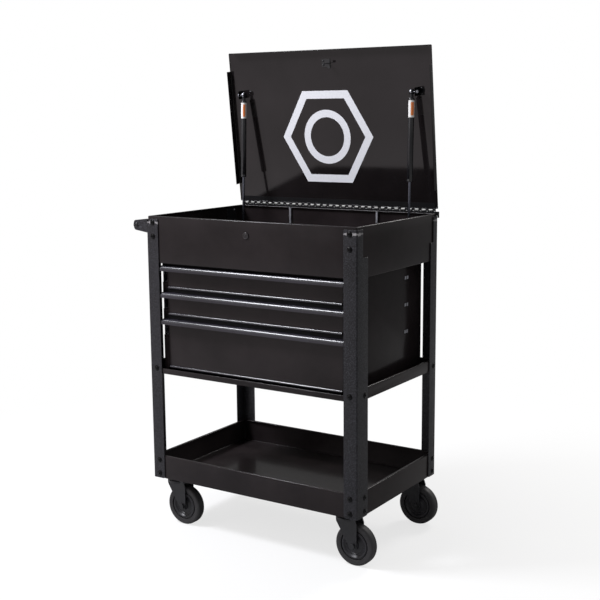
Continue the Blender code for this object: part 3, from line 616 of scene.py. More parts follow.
def metal(name, colour, rough, lines=(1.0, 1.0, 1.0), depth=0.00003, dirt=0.25):
    """Bare or plated steel: drawn lines, slow stains and dull patches."""
    made = bpy.data.materials.new(name)
    made.use_nodes = True
    tree = made.node_tree
    shader = tree.nodes["Principled BSDF"]
    drawn_lines = effect(tree, "rubbed_lines", Along_X=lines[0], Along_Y=lines[1], Along_Z=lines[2])
    stain = ramp(tree, noise(tree, place_of(tree), 45.0, 5.0, 0.6), 0.35, 0.75)
    base = blended(tree, drawn_lines["Tone"], tuple(c * 0.88 for c in colour), colour)
    base = blended(tree, math_node(tree, "MULTIPLY", stain, dirt), base, tuple(c * 0.35 for c in colour))
    tree.links.new(base, shader.inputs["Base Color"])
    roughness = math_node(tree, "ADD", ramp(tree, drawn_lines["Tone"], 0, 1, *rough),
                          math_node(tree, "MULTIPLY", stain, 0.15), clamp=True)
    tree.links.new(roughness, shader.inputs["Roughness"])
    tree.links.new(bumped(tree, drawn_lines["Height"], 0.5, depth), shader.inputs["Normal"])
    shader.inputs["Metallic"].default_value = 1.0
    return made


def film(name, colour, other, rough):
    """Printed label film, a little scuffed."""
    made = bpy.data.materials.new(name)
    made.use_nodes = True
    tree = made.node_tree
    shader = tree.nodes["Principled BSDF"]
    scuff = ramp(tree, noise(tree, place_of(tree), 300.0, 6.0, 0.7), 0.45, 0.8)
    tree.links.new(blended(tree, scuff, colour, other), shader.inputs["Base Color"])
    tree.links.new(ramp(tree, scuff, 0.0, 1.0, *rough), shader.inputs["Roughness"])
    tree.links.new(bumped(tree, scuff, 0.3, 0.00005), shader.inputs["Normal"])
    return made


def colours():
    return bpy.context.scene.cart_colours


def finish_hammered():
    return coat("hammered black coat", colours().hammered, "hammer_grain", 330.0, 0.00045, (0.38, 0.50),
                wear=0.22, dust=0.035, speckle=0.35, specular=0.32)


# The posts' coat paints a highlight: a lighter metal band round each post at the top bolts' height.
def finish_post():
    return coat("hammered black post coat with painted highlight", colours().hammered, "hammer_grain", 330.0, 0.00045,
                (0.38, 0.50),
                wear=0.22, dust=0.035, speckle=0.30, specular=0.32,
                highlight_levels=((POST_Z[1] - 0.0118, 0.0050),))


def finish_bolt():
    return coat("black bolt", (0.0012, 0.0012, 0.0015), "powder_grain", 1500.0, 0.00002, (0.16, 0.24),
                wear=0.22, dust=0.0, wear_width=0.0005, specular=0.16)


def finish_emblem():
    return film("worn white print", (0.74, 0.75, 0.79), (0.60, 0.61, 0.65), (0.35, 0.50))


def finish_panel():
    return coat("smooth black coat", colours().panel, "powder_grain", 900.0, 0.00004, (0.27, 0.36),
                wear=0.13, dust=0.035, specular=0.05, coating=0.25)


def finish_lid():
    return coat("gloss black lid coat", colours().lid, "powder_grain", 700.0, 0.000012, (0.06, 0.10),
                wear=0.15, dust=0.03, specular=0.42)


def finish_pull():
    return coat("satin black pull coat", colours().pull, "powder_grain", 1200.0, 0.000006, (0.22, 0.30),
                wear=0.06, dust=0.02, specular=0.40, coating=0.12)


def finish_foot():
    return coat("glossy drawer foot coat", colours().pull, "powder_grain", 1200.0, 0.00001, (0.22, 0.30),
                wear=0.06, dust=0.02, specular=0.45, coating=0.40)


def finish_leaf():
    return coat("dull black hinge coat", (0.0050, 0.0048, 0.0056), "powder_grain", 1300.0, 0.00003,
                (0.62, 0.74),
                wear=0.05, dust=0.02, specular=0.12)


def finish_black_steel():
    return coat("black oxide steel", (0.012, 0.012, 0.014), "powder_grain", 1500.0, 0.00003, (0.30, 0.42),
                wear=0.35, dust=0.04, wear_width=0.0008)


def finish_caster():
    return coat("caster black paint", (0.0105, 0.0105, 0.0125), "powder_grain", 800.0, 0.00006,
                (0.34, 0.46),
                wear=0.35, dust=0.10)


def finish_core():
    return coat("moulded wheel core", (0.0165, 0.0158, 0.0190), "powder_grain", 1300.0, 0.00003,
                (0.36, 0.48),
                wear=0.0, dust=0.10)


def finish_rubber():
    return coat("black tyre rubber", colours().rubber, "powder_grain", 650.0, 0.00010, (0.50, 0.66),
                wear=0.0, dust=0.12, spread=0.2, specular=0.5)


def finish_plastic():
    return coat("black socket plastic", (0.010, 0.010, 0.012), "powder_grain", 1600.0, 0.00003,
                (0.28, 0.40),
                wear=0.0, dust=0.05)


def finish_strut():
    return coat("strut black paint", (0.0075, 0.0075, 0.0095), "powder_grain", 1100.0, 0.000015,
                (0.18, 0.28),
                wear=0.08, dust=0.02, specular=0.55, coating=0.2)


def finish_zinc():
    return metal("bright zinc", colours().zinc, (0.26, 0.40))


def finish_rod():
    return metal("ground rod steel", (0.13, 0.135, 0.165), (0.16, 0.26), lines=(3.0, 3.0, 0.2), dirt=0.1)


def finish_chrome():
    return metal("dulled lock chrome", (0.075, 0.072, 0.075), (0.18, 0.28), dirt=0.5)


def finish_label():
    return film("label film", (0.80, 0.79, 0.77), (0.62, 0.61, 0.60), (0.30, 0.50))


def finish_stripe():
    return film("label stripe", colours().stripe, tuple(c * 0.75 for c in colours().stripe), (0.30, 0.50))


def kept(make):
    """A finish made once and then reused."""
    made = {}

    def get():
        if "it" not in made:
            made["it"] = make()
        return made["it"]
    return get


FINISHES = {make.__name__.removeprefix("finish_"): kept(make) for make in (
    finish_hammered, finish_post, finish_bolt, finish_emblem, finish_panel, finish_lid, finish_pull,
    finish_foot, finish_leaf, finish_black_steel, finish_caster, finish_core, finish_rubber,
    finish_plastic, finish_strut, finish_zinc, finish_rod, finish_chrome, finish_label, finish_stripe)}


# ---- frame: posts and bolts ----------------------------------------------------------------------
def angle_post(side, end, size, sizes):
    """A folded angle post with rounded free corners and a narrower neck for the till."""
    x, y = side * HALF_X, end * HALF_Y
    free_x, free_y, neck_y = x - side * size["face"], y - end * size["flank"], y - end * size["neck"]
    path = filleted([(free_x, y), (x, y), (x, free_y)], sizes.post_bend, 6)
    if side * end > 0:
        path = path[::-1]
    foot, top = POST_Z
    bm = drawn(sheet_outline(path, POST_SHEET), "Z", foot, top)
    for z, radius in ((foot, 0.007), (top, 0.003)):
        soften(bm, radius, 4, lambda p: abs(p.x - free_x) < NEAR and abs(p.z - z) < NEAR)
    soften(bm, 0.007, 4, lambda p: abs(p.y - free_y) < NEAR and abs(p.z - foot) < NEAR)
    beyond = free_y - end * 0.01
    if side < 0:
        corner = [(x - 0.01, top + 0.01), (x - 0.01, top - 0.0115), (x, top - 0.0115), (x + 0.018, top),
                  (x + 0.018, top + 0.01)]
        bm = carved(bm, [drawn(corner, "Y", y - 0.08, y + 0.08)])
    notch = [tuple(p) for p in filleted([(neck_y, top + 0.01), (neck_y, POST_NECK_Z),
                                         (beyond, POST_NECK_Z)], 0.005)]
    cutter = drawn(notch + [(beyond, top + 0.01)], "X", x - 0.01, x + 0.01)
    return carved(bm, [cutter])


def button_head():
    """A domed socket head standing on +Z."""
    dome = [(0, 0.0009), (0.0072, 0.0009), (0.0074, 0.0013)]
    dome += arc((0, -0.01005), 0.01355, 57.5, 85, 5)
    head = turned(dome + [(0, BOLT_HEAD)], 20)
    return carved(head, [drawn(hexagon(0.0024), "Z", 0.0018, 0.006)])


def washer():
    """A thin flat washer lying on z = 0."""
    return as_mesh(turned([(0.0030, 0.0), (0.0088, 0.0), (0.0092, 0.0003), (0.0090, 0.0008),
                           (0.0085, 0.0010),
                           (0.0030, 0.0010)], 24))


class CART_OT_posts(bpy.types.Operator):
    """Adds the four angle posts with their bolts and washers"""
    bl_idname = "cart.posts"
    bl_label = "Posts and bolts"

    def execute(self, context):
        sizes = context.scene.cart_sizes
        head, ring = button_head(), washer()
        for end, where in ENDS:
            size = FRONT_POST if end < 0 else REAR_POST
            for side, hand in SIDES:
                node_name = f"post_{where}_{hand}"
                post = angle_post(side, end, size, sizes)
                piece(f"{where}_{hand}_post", post, "post", "cart_frame",
                      [node_name], edge=sizes.edge)
                x, y = side * HALF_X, end * HALF_Y
                face = [facing((x - side * BOLT_FACE_INSET, y, z), (0, end, 0)) for z in BOLT_LEVELS]
                flank = [facing((x, y - end * size["bolt"], z), (side, 0, 0)) for z in SIDE_BOLT_LEVELS]
                piece(f"{where}_{hand}_bolts", copies(head, face + flank), "bolt",
                      "cart_frame")
                piece(f"{where}_{hand}_washers", copies(ring, face + flank), "bolt", "cart_frame")
        return {"FINISHED"}


# ---- trays and till ------------------------------------------------------------------------------
def tray_profile(low, high, sheet, rim, fold):
    """(inset, z) round a tray's wall: under the floor, up, over the rolled rim and back down inside."""
    foot = 0.0022
    outside = [(0.020, low)] + arc((foot, low + foot), foot, 270, 180) + arc((fold, high - fold), fold,
                                                                             180, 90)
    hem = arc((rim - sheet, high - sheet), sheet, 90, -90, 6) + [(fold + 0.0015, high - 2 * sheet)]
    hem += [(fold + 0.0013, high - sheet)]
    inside = arc((fold, high - fold), fold - sheet, 90, 180) + arc((foot, low + foot), foot - sheet, 180,
                                                                   270)
    return outside + hem + inside + [(0.020, low + sheet)]


class CART_OT_trays(bpy.types.Operator):
    """Adds the lower tray and the middle tray under the cabinet"""
    bl_idname = "cart.trays"
    bl_label = "Trays"

    def execute(self, context):
        sizes = context.scene.cart_sizes
        lower = pan(TRAY_HALF_X, TRAY_HALF_Y, sizes.tray_corner,
                    tray_profile(*LOWER_TRAY_Z, TRAY_SHEET, RIM, sizes.tray_fold))
        piece("lower_tray_finished", lower, "panel", "cart_frame", ["lower_tray"])
        middle = pan(TRAY_HALF_X, TRAY_HALF_Y, sizes.tray_corner,
                     tray_profile(*MIDDLE_TRAY_Z, TRAY_SHEET, RIM, sizes.tray_fold))
        cutter = block((-HALF_X, -HALF_Y, MIDDLE_FRONT_LIP_Z),
                       (HALF_X, -TRAY_HALF_Y + RIM + 0.0006, 0.56))
        low_middle = carved(middle, [cutter])
        piece("middle_tray_finished", low_middle, "panel", "cart_frame", ["middle_tray"])
        lip_radius = 0.0017
        centre = (-TRAY_HALF_Y + lip_radius + 0.0001, MIDDLE_FRONT_LIP_Z - 0.0010)
        roll = drawn(arc(centre, lip_radius, 0, 345, 15), "X", -TRAY_HALF_X + 0.001, TRAY_HALF_X - 0.001)
        piece("middle_tray_rolled_lip", roll, "panel", "cart_frame")
        return {"FINISHED"}


class CART_OT_till(bpy.types.Operator):
    """Adds the till with its lock hole, and its rear wall's stiffeners"""
    bl_idname = "cart.till"
    bl_label = "Till"

    def execute(self, context):
        sizes = context.scene.cart_sizes
        box = pan(TRAY_HALF_X, TRAY_HALF_Y, sizes.tray_corner,
                  tray_profile(*TILL_Z, TRAY_SHEET, RIM, sizes.tray_fold))
        hole = turned(rod(0.0093, -0.01, 0.01), 32, "Y", (0, -TRAY_HALF_Y, LOCK_Z))
        piece("till_finished", carved(box, [hole]), "panel", "cart_frame", ["till_box"])
        width, depth = 0.008, 0.006
        wall_y = TRAY_HALF_Y - TRAY_SHEET - GAP
        low, high = TILL_Z[0] + TRAY_SHEET + GAP, TILL_Z[1] - 2 * TRAY_SHEET - GAP
        for _, hand in SIDES:
            x = middle_of(f"rear_wall_stiffener_{hand}").x - CART.x
            corners = [(x - width / 2, wall_y), (x - width / 2, wall_y - depth),
                       (x + width / 2, wall_y - depth), (x + width / 2, wall_y)]
            outline = sheet_outline(filleted(corners, 0.0016), SHEET)
            piece(f"{hand}_wall_stiffener", drawn(outline, "Z", low, high), "zinc", "cart_frame",
                  [f"rear_wall_stiffener_{hand}"], edge=0.0002)
        return {"FINISHED"}


# ---- cabinet and drawers -------------------------------------------------------------------------
class CART_OT_cabinet(bpy.types.Operator):
    """Adds the drawer cabinet's shell and the bright tabs of its rails"""
    bl_idname = "cart.cabinet"
    bl_label = "Cabinet"

    def execute(self, context):
        low, high = CABINET
        half_x, half_z, middle_z = high.x, (high.z - low.z) / 2, (high.z + low.z) / 2
        bend = 0.0025
        profile = [(0.02, high.y)] + arc((bend, high.y - bend), bend, 90, 180)
        profile += arc((SHEET / 2, low.y + SHEET / 2), SHEET / 2, 180, 360, 4)
        profile += arc((bend, high.y - bend), bend - SHEET, 180, 90) + [(0.02, high.y - SHEET)]
        shell = pan(half_x, half_z, bend, profile)
        # drawn lying on its back: (x, z, y) as drawn becomes (x, y, z)
        bmesh.ops.transform(shell, verts=shell.verts,
                            matrix=Matrix(((1, 0, 0, 0), (0, 0, 1, 0), (0, 1, 0, middle_z),
                                           (0, 0, 0, 1))))
        bmesh.ops.recalc_face_normals(shell, faces=shell.faces)
        slots, tabs = [], []
        for level in DRAWERS:
            z = middle_of(f"cabinet_rail_{level}_left").z
            for side in (-1, 1):
                for y in (0.120, 0.133):
                    slots.append(block((side * 0.33, y - 0.0052, z - 0.0055),
                                       (side * 0.345, y + 0.0052, z + 0.0055)))
                    tabs.append(Matrix.Translation((side * half_x, y, z)))
        piece("cabinet_finished", carved(shell, slots), "panel", "cart_frame",
              ["cabinet_shell"], edge=0.0002)
        windows = sorted(tuple(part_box(f"cabinet_rail_{level}_left")[i].z for i in (0, 1))
                         for level in DRAWERS)
        edges = [low.z + 0.0015] + [z for window in windows for z in window] + [high.z - 0.0015]
        for side, hand in SIDES:
            flange = bmesh.new()
            for start, end in zip(edges[::2], edges[1::2]):
                strip = block((side * (half_x + 0.0022), low.y + 0.0002, start),
                              (side * 0.3235, low.y + 0.0014, end))
                flange.from_mesh(as_mesh(strip))
            piece(f"{hand}_cabinet_flange", flange, "panel", "cart_frame", edge=0.0002)
        # Cross rails behind the gaps above the pulls: partly a plausible crossbar, partly painted shade,
        # as they take the darker dull black hinge coat rather than the panel coat so that the gaps read
        # dark.
        tops = [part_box(f"drawer_{level}_pull")[1].z + 0.0007 for level in DRAWERS]
        bottoms = [TILL_Z[0] - 0.0007] + [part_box(f"drawer_{level}")[0].z - 0.0007
                                          for level in DRAWERS[:2]]
        rails = bmesh.new()
        for top, bottom in zip(tops, bottoms):
            bar = block((-half_x + 0.0020, low.y + 0.0001, top),
                        (half_x - 0.0020, low.y + 0.0013, bottom))
            rails.from_mesh(as_mesh(bar))
        piece("cabinet_cross_rails_painted_shade", rails, "leaf", "cart_frame", edge=0.0002)
        tab = block((-0.0016, -0.0048, -0.0050), (0.0008, 0.0048, 0.0050))
        bmesh.ops.bevel(tab, geom=tab.edges[:], offset=0.0006, segments=2, profile=0.5, affect="EDGES",
                        material=-1)
        piece("rail_tabs", copies(as_mesh(tab), tabs), "zinc", "cart_frame")
        for level in DRAWERS:
            for _, hand in SIDES:
                dress(f"cabinet_rail_{level}_{hand}", "zinc")
                dress(f"drawer_{level}_slide_{hand}", "zinc")
        return {"FINISHED"}


def drawer_box(low, high, side_top):
    """An open drawer: folded walls and a taller front."""
    half_x, front, back, bottom, front_top = high.x, low.y, high.y, low.z, high.z
    middle_y, half_y = (front + back) / 2, (back - front) / 2
    bend = 0.0022
    profile = [(0.02, bottom)] + arc((bend, bottom + bend), bend, 270, 180)
    profile += arc((SHEET, side_top - SHEET), SHEET, 180, 0, 6) + [(2 * SHEET, side_top - 0.006),
                                                                  (SHEET, side_top - 0.0065)]
    profile += arc((bend, bottom + bend), bend - SHEET, 180, 270) + [(0.02, bottom + SHEET)]
    box = pan(half_x, half_y, bend, profile)
    bmesh.ops.translate(box, verts=box.verts, vec=(0, middle_y, 0))
    front_sheet = block((-half_x + 0.001, front, bottom + 0.006),
                        (half_x - 0.001, front + SHEET, front_top))
    return carved(box, [front_sheet], "UNION")


def rolled_pull(top, back_y):
    """A full-width rolled pull with the finger space open below."""
    sheet, reach, round_off, height = 0.002, 0.0205, 0.0115, 0.018
    back, nose = back_y - GAP, back_y - reach
    path = [(back, top - height + 0.002), (back, top - 0.0015), (back - 0.0015, top)]
    path += arc((nose + round_off, top - round_off), round_off, 90, 180, 14)
    path += [(nose, top - height + 0.0012)]
    return drawn(sheet_outline(path, sheet), "X", -0.334, 0.334)


class CART_OT_drawers(bpy.types.Operator):
    """Adds the three drawers with their rolled pulls"""
    bl_idname = "cart.drawers"
    bl_label = "Drawers"

    def execute(self, context):
        sizes = context.scene.cart_sizes
        for level in DRAWERS:
            body = f"drawer_{level}"
            low, high = (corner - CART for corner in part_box(body))
            side_top = high.z - (0.0115 if level == "lower" else 0.011)
            piece(f"{level}_drawer_box", drawer_box(low, high, side_top), "panel", body,
                  [body], edge=sizes.edge)
            ledge = drawn(arc((low.y - 0.0014, low.z + 0.0041), 0.0040, 75, 285, 28), "X", low.x + 0.007,
                          high.x - 0.002)
            piece(f"{level}_drawer_foot", ledge, "foot", body, edge=0.0002)
            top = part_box(f"{body}_pull")[1].z
            piece(f"{level}_drawer_pull", rolled_pull(top, low.y), "pull", body,
                  [f"{body}_pull"], edge=0.0003)
        return {"FINISHED"}


# ---- lid, hinge and struts -----------------------------------------------------------------------
def lid_shell(sizes):
    """The lid as it is shut, about the hinge pin: folded flanges, the rear one and the ends cut away."""
    low, high = CAD_LID
    half_x, half_y, middle_y = HALF_X, (high.y - low.y) / 2, (high.y + low.y) / 2
    fold = sizes.lid_fold
    profile = [(0.02, LID_TOP)] + arc((fold, LID_TOP - fold), fold, 90, 180, 5)
    profile += arc((SHEET / 2, LID_LIP + SHEET / 2), SHEET / 2, 180, 360, 4)
    profile += arc((fold, LID_TOP - fold), fold - SHEET, 180, 90, 5) + [(0.02, LID_TOP - SHEET)]
    lid = pan(half_x, half_y, 0.003, profile)
    bmesh.ops.translate(lid, verts=lid.verts, vec=(0, middle_y, 0))
    reach, under = half_x + 0.01, LID_TOP - fold - 0.0002
    cuts = [block((-reach, high.y - FLANGE_CLIP, LID_LIP - 0.01), (reach, high.y + 0.01, under))]
    for side in (-1, 1):
        cuts.append(block((side * (half_x - 0.021), low.y - 0.01, LID_LIP - 0.01),
                          (side * reach, low.y + FLANGE_CLIP, under)))
    return carved(lid, cuts)


# the lid's own box when shut, about the hinge pin
CAD_LID = (Vector((-HALF_X, -0.2570 - (HINGE.y - CART.y), LID_LIP)),
           Vector((HALF_X, -LID_SETBACK, LID_TOP)))


class CART_OT_lid(bpy.types.Operator):
    """Adds the lid and the strike that the lock hooks over"""
    bl_idname = "cart.lid"
    bl_label = "Lid"

    def execute(self, context):
        sizes = context.scene.cart_sizes
        piece("lid_finished", lid_shell(sizes), "lid", "lid", ["lid"], LID_PLACE,
              sizes.edge)
        hinge_y = HINGE.y - CART.y
        leg_y = -0.2125 - hinge_y
        foot_z = LID_TOP - SHEET - GAP
        lip_z = LOCK_Z + 0.0201 - HINGE.z
        corners = [(leg_y - 0.007, lip_z), (leg_y, lip_z), (leg_y, foot_z - TRAY_SHEET),
                   (leg_y + 0.016, foot_z - TRAY_SHEET)]
        outline = sheet_outline(filleted(corners, 0.0018), TRAY_SHEET)
        # the leg widens to a foot that two rivets hold
        strike = drawn(outline, "X", 0.008, 0.018)
        foot = block((-0.0125, leg_y - 0.0140, foot_z - TRAY_SHEET), (0.0180, leg_y + 0.0110, foot_z))
        piece("lock_strike_finished", carved(strike, [foot], "UNION"), "black_steel", "lid",
              ["lock_strike"], LID_PLACE, 0.0003)
        dome = [(0, -0.0030)] + arc((0, 0.0005), 0.0032, 270, 350, 5)[1:] + [(0, 0.0004)]
        rivet = as_mesh(turned(dome, 12))
        spots = [Matrix.Translation((-0.0065, leg_y + y, foot_z - TRAY_SHEET - 0.0002))
                 for y in (-0.008, 0.005)]
        piece("strike_rivets", copies(rivet, spots), "black_steel", "lid", place=LID_PLACE)
        emblem_z = LID_TOP - SHEET
        middle = (-0.010, -0.228)
        rings = []
        for outer, inner, sides in ((0.172, 0.143, 6), (0.088, 0.064, 48)):
            solid, hole = [[(middle[0] + r * math.cos(math.radians(360 * i / sides)),
                             middle[1] + r * math.sin(math.radians(360 * i / sides)))
                            for i in range(sides)]
                           for r in (outer, inner)]
            rings.append(carved(drawn(solid, "Z", emblem_z - 0.00025, emblem_z - 0.00005),
                                [drawn(hole, "Z", emblem_z - 0.001, emblem_z + 0.001)]))
        emblem = bmesh.new()
        for ring in rings:
            emblem.from_mesh(ring)
        piece("lid_emblem", emblem, "emblem", "lid", place=LID_PLACE)
        return {"FINISHED"}


def leaf(knuckle_start, setback, tongues=False):
    """A hinge leaf along -Y above the pin, its tabs curled round the pin at the origin. Tongues reach
    close to the pin between the pairs of knuckles."""
    inner, outer, depth, half_x = 0.0017, 0.0029, 0.0225, 0.3725
    stations = [-half_x, half_x]
    for i in range(KNUCKLE_PAIRS):
        middle = (i - (KNUCKLE_PAIRS - 1) / 2) * KNUCKLE_PITCH
        stations += [middle + knuckle_start, middle + knuckle_start + KNUCKLE_WIDTH]
        if tongues:
            stations += [middle + KNUCKLE_WIDTH + 2 * GAP,
                         middle + KNUCKLE_PITCH - KNUCKLE_WIDTH - 2 * GAP]
    stations.sort()
    bm = bmesh.new()
    corners = [(-depth, inner), (-depth, outer), (-setback, outer), (-setback, inner)]
    face = bm.faces.new([bm.verts.new((stations[0], y, z)) for y, z in corners])
    for i, station in enumerate(stations[1:]):
        face = grown(bm, face, first=i == 0)
        for vert in face.verts:
            vert.co.x = station
    bm.normal_update()
    edge_faces = [f for f in bm.faces if all(abs(v.co.y + setback) < 1e-6 for v in f.verts)]
    edge_faces.sort(key=lambda f: f.calc_center_median().x)
    for tab in edge_faces[1::2]:
        wide = max(v.co.x for v in tab.verts) - min(v.co.x for v in tab.verts) > 2 * KNUCKLE_WIDTH
        tab = grown(bm, tab)
        if wide:
            bmesh.ops.translate(bm, verts=tab.verts, vec=(0, setback - 0.0014, 0))
            continue
        bmesh.ops.translate(bm, verts=tab.verts, vec=(0, setback, 0))
        for _ in range(12):
            tab = grown(bm, tab)
            bmesh.ops.rotate(bm, verts=tab.verts, cent=(0, 0, 0),
                             matrix=Matrix.Rotation(math.radians(-24), 3, "X"))
    bmesh.ops.recalc_face_normals(bm, faces=bm.faces)
    return bm


class CART_OT_hinge(bpy.types.Operator):
    """Adds the piano hinge: two leaves with curled knuckles, and the pin"""
    bl_idname = "cart.hinge"
    bl_label = "Piano hinge"

    def execute(self, context):
        place = Matrix.Translation(HINGE)
        piece("hinge_leaf_on_lid", leaf(GAP / 2, LID_SETBACK - 0.0019), "leaf", "lid",
              ["hinge_lid_leaf"], LID_PLACE)
        till_leaf = leaf(-GAP / 2 - KNUCKLE_WIDTH, 0.0032, tongues=True)
        bmesh.ops.rotate(till_leaf, verts=till_leaf.verts, cent=(0, 0, 0),
                         matrix=Matrix.Rotation(math.pi / 2, 3, "X"))
        cutter = block((-HALF_X, -0.01, -0.05), (HALF_X, 0.01, 0.9965 - HINGE.z))
        piece("hinge_leaf_on_till", carved(till_leaf, [cutter]), "leaf", "cart_frame",
              ["hinge_till_leaf"], place)
        pin = turned(rod(0.0012, -0.3728, 0.3728, 0.0006), 12, "X")
        piece("hinge_pin_finished", pin, "leaf", "cart_frame", ["hinge_pin"], place)
        return {"FINISHED"}


def strut_ends():
    """A strut's upper pivot with the lid open, and its lower pivot, as (y, z) in the cart's frame."""
    hinge = Vector((HINGE.y - CART.y, HINGE.z))
    along, inward = STRUT_ON_LID
    upper = hinge + Vector((-along * math.cos(LID_OPEN) - inward * math.sin(LID_OPEN),
                            along * math.sin(LID_OPEN) - inward * math.cos(LID_OPEN)))
    return upper, Vector(STRUT_ON_FRAME)


def strut_pieces(side, hand):
    """Tube, label, sockets and rod of one strut, drawn along Z from its upper pivot, and its brackets."""
    upper, lower = strut_ends()
    slope = upper - lower
    lean = Matrix.Rotation(math.atan2(-slope.x, slope.y), 4, "X")
    x = side * STRUT_X
    hang = Matrix.Translation(CART + Vector((x, upper.x, upper.y))) @ lean
    stand = Matrix.Translation(CART + Vector((x, lower.x, lower.y))) @ lean
    tube_body, rod_body = f"strut_{hand}_tube", f"strut_{hand}_rod"
    end = -0.274
    shell = [(0.0044, end), (0.0078, end)] + arc((0.0078, end + 0.0012), 0.0012, 270, 360, 3)
    shell += [(0.0090, end + 0.006), (0.0084, end + 0.0072), (0.0084, end + 0.0085),
              (0.0090, end + 0.0097)]
    shell += [(0.0090, -0.0215)] + arc((0.0060, -0.0215), 0.0030, 0, 90, 4) + [(0.0050, -0.0185),
                                                                               (0.0050, -0.020),
                                                                               (0.0044, -0.030)]
    piece(f"{hand}_strut_tube", turned(shell, 32), "strut", tube_body,
          [f"strut_tube_{hand}"], hang)
    neck = turned(rod(0.0055, -0.0290, -0.0030, 0.0008), 20)
    socket = carved(turned(rod(0.0088, -0.0055, 0.0055, 0.0015), 28, "X"), [neck], "UNION")
    bore = turned(rod(0.0053, *sorted((side * 0.0070, -side * 0.0040))), 24, "X")
    piece(f"{hand}_strut_upper_socket", carved(socket, [bore]), "plastic", tube_body,
          place=hang)
    clip = arc((0, 0), 0.0093, -60, 240, 20)
    wire = drawn(sheet_outline(clip, 0.0008), "X", -0.0009, 0.0009)
    piece(f"{hand}_strut_upper_clip", wire, "zinc", tube_body, place=hang)
    label = [(0.00905, -0.0775), (0.00925, -0.0775), (0.00925, -0.0255), (0.00905, -0.0255)]
    piece(f"{hand}_strut_label", turned(label, 32), "label", tube_body, place=hang)
    stripe_path = arc((0, 0), 0.00938, -72, -10 if side > 0 else -20, 10)
    stripe = drawn(sheet_outline(stripe_path, 0.00010), "Z", -0.0715, -0.0315)
    piece(f"{hand}_strut_label_stripe", stripe, "stripe", tube_body, place=hang)
    shaft = turned(rod(0.0040, 0.012, 0.2208, 0.0006), 24)
    piece(f"{hand}_strut_rod", shaft, "rod", rod_body, [f"strut_rod_{hand}"], stand)
    lower_neck = turned(rod(0.0062, 0.0030, 0.0190, 0.0008), 20)
    eye = carved(turned(rod(0.0080, -0.0050, 0.0050, 0.0015), 28, "X"), [lower_neck], "UNION")
    piece(f"{hand}_strut_lower_socket", eye, "plastic", rod_body, place=stand)
    add_strut_brackets(side, hand, lower)


def add_strut_brackets(side, hand, lower):
    """The folded brackets on the lid and on the till's end wall, with their ball studs and screws."""
    along, inward = STRUT_ON_LID
    x, leg_x = side * STRUT_X, STRUT_X + 0.014
    inner = LID_TOP - SHEET - GAP
    corners = [(leg_x + 0.018, inner), (leg_x, inner), (leg_x, -inward - 0.010)]
    outline = [(side * a, b) for a, b in sheet_outline(filleted(corners, 0.0018), TRAY_SHEET)]
    leg = drawn(outline, "Y", -along - 0.013, -along + 0.013)
    soften(leg, 0.009, 5,
           lambda p: abs(p.z + inward + 0.010) < NEAR and abs(abs(p.y + along) - 0.013) < NEAR)
    profile = [(0, side * (leg_x + 0.0014)), (0.0030, side * (leg_x + 0.0014)),
               (0.0030, x + side * 0.0060),
               (0.0024, x + side * 0.0045)]
    profile += [(0.0050 * math.cos(t), x + side * 0.0050 * math.sin(t)) for t in
                (math.radians(60 - 15 * i) for i in range(10))] + [(0, x - side * 0.0050)]
    stud = turned(profile, 20, "X", (0, -along, -inward))
    outside = leg_x + 0.0001
    tail = [(0, side * outside)]
    tail += [(0.0062 * math.cos(t), side * (outside + 0.0040 + 0.0062 * math.sin(t))) for t in
             (math.radians(15 * i - 40) for i in range(9))] + [(0, side * (outside + 0.0102))]
    tail = turned(tail, 20, "X", (0, -along, -inward))
    piece(f"{hand}_lid_stud_rivet", tail, "zinc", "lid", place=LID_PLACE)
    piece(f"{hand}_lid_bracket", leg, "bolt", "lid",
          [f"strut_bracket_upper_{hand}"], LID_PLACE, 0.0003)
    piece(f"{hand}_lid_ball_stud", stud, "zinc", "lid", place=LID_PLACE)
    head = [(0, -0.0022)] + arc((0, 0.0012), 0.0036, 280, 335, 5) + [(0, 0.0002)]
    screw = as_mesh(turned(head, 14))
    foot_z = inner - TRAY_SHEET
    spots = [Matrix.Translation((side * (leg_x + 0.0105), -along + y, foot_z)) for y in (-0.009, 0.009)]
    piece(f"{hand}_lid_bracket_screws", copies(screw, spots), "black_steel", "lid",
          place=LID_PLACE)
    wall_x = TRAY_HALF_X - TRAY_SHEET - GAP
    shelf_z, leg_top = lower.y - 0.015, lower.y + 0.012
    corners = [(leg_x, leg_top), (leg_x, shelf_z), (wall_x, shelf_z), (wall_x, TILL_Z[1] - 0.007)]
    outline = [(side * a, b) for a, b in sheet_outline(filleted(corners, 0.0030), TRAY_SHEET)]
    bracket = drawn(outline, "Y", lower.x - 0.013, lower.x + 0.038)
    soften(bracket, 0.006, 4, lambda p: abs(p.z - leg_top) < NEAR
           and min(abs(p.y - lower.x + 0.013), abs(p.y - lower.x - 0.038)) < NEAR)
    stud = turned(rod(0.0040, *sorted((side * (leg_x + 0.0010), side * (STRUT_X + 0.0058))), 0.0006), 20,
                  "X",
                  (0, lower.x, lower.y))
    piece(f"{hand}_till_bracket", carved(bracket, [stud], "UNION"), "black_steel", "cart_frame",
          [f"strut_bracket_lower_{hand}"], edge=0.0003)
    heads = [facing((side * (wall_x - TRAY_SHEET), lower.x + 0.0285, z), (-side, 0, 0))
             for z in (0.951, 0.9895)]
    rivet = as_mesh(turned([(0, 0)] + [(0.0042, 0)] + arc((0, -0.0030), 0.0052, 38, 80,
                                                          4) + [(0, 0.0022)], 14))
    piece(f"{hand}_till_bracket_rivets", copies(rivet, heads), "zinc", "cart_frame")


class CART_OT_struts(bpy.types.Operator):
    """Adds both gas struts with their sockets, labels, brackets and screws"""
    bl_idname = "cart.struts"
    bl_label = "Gas struts"

    def execute(self, context):
        for side, hand in SIDES:
            strut_pieces(side, hand)
        return {"FINISHED"}


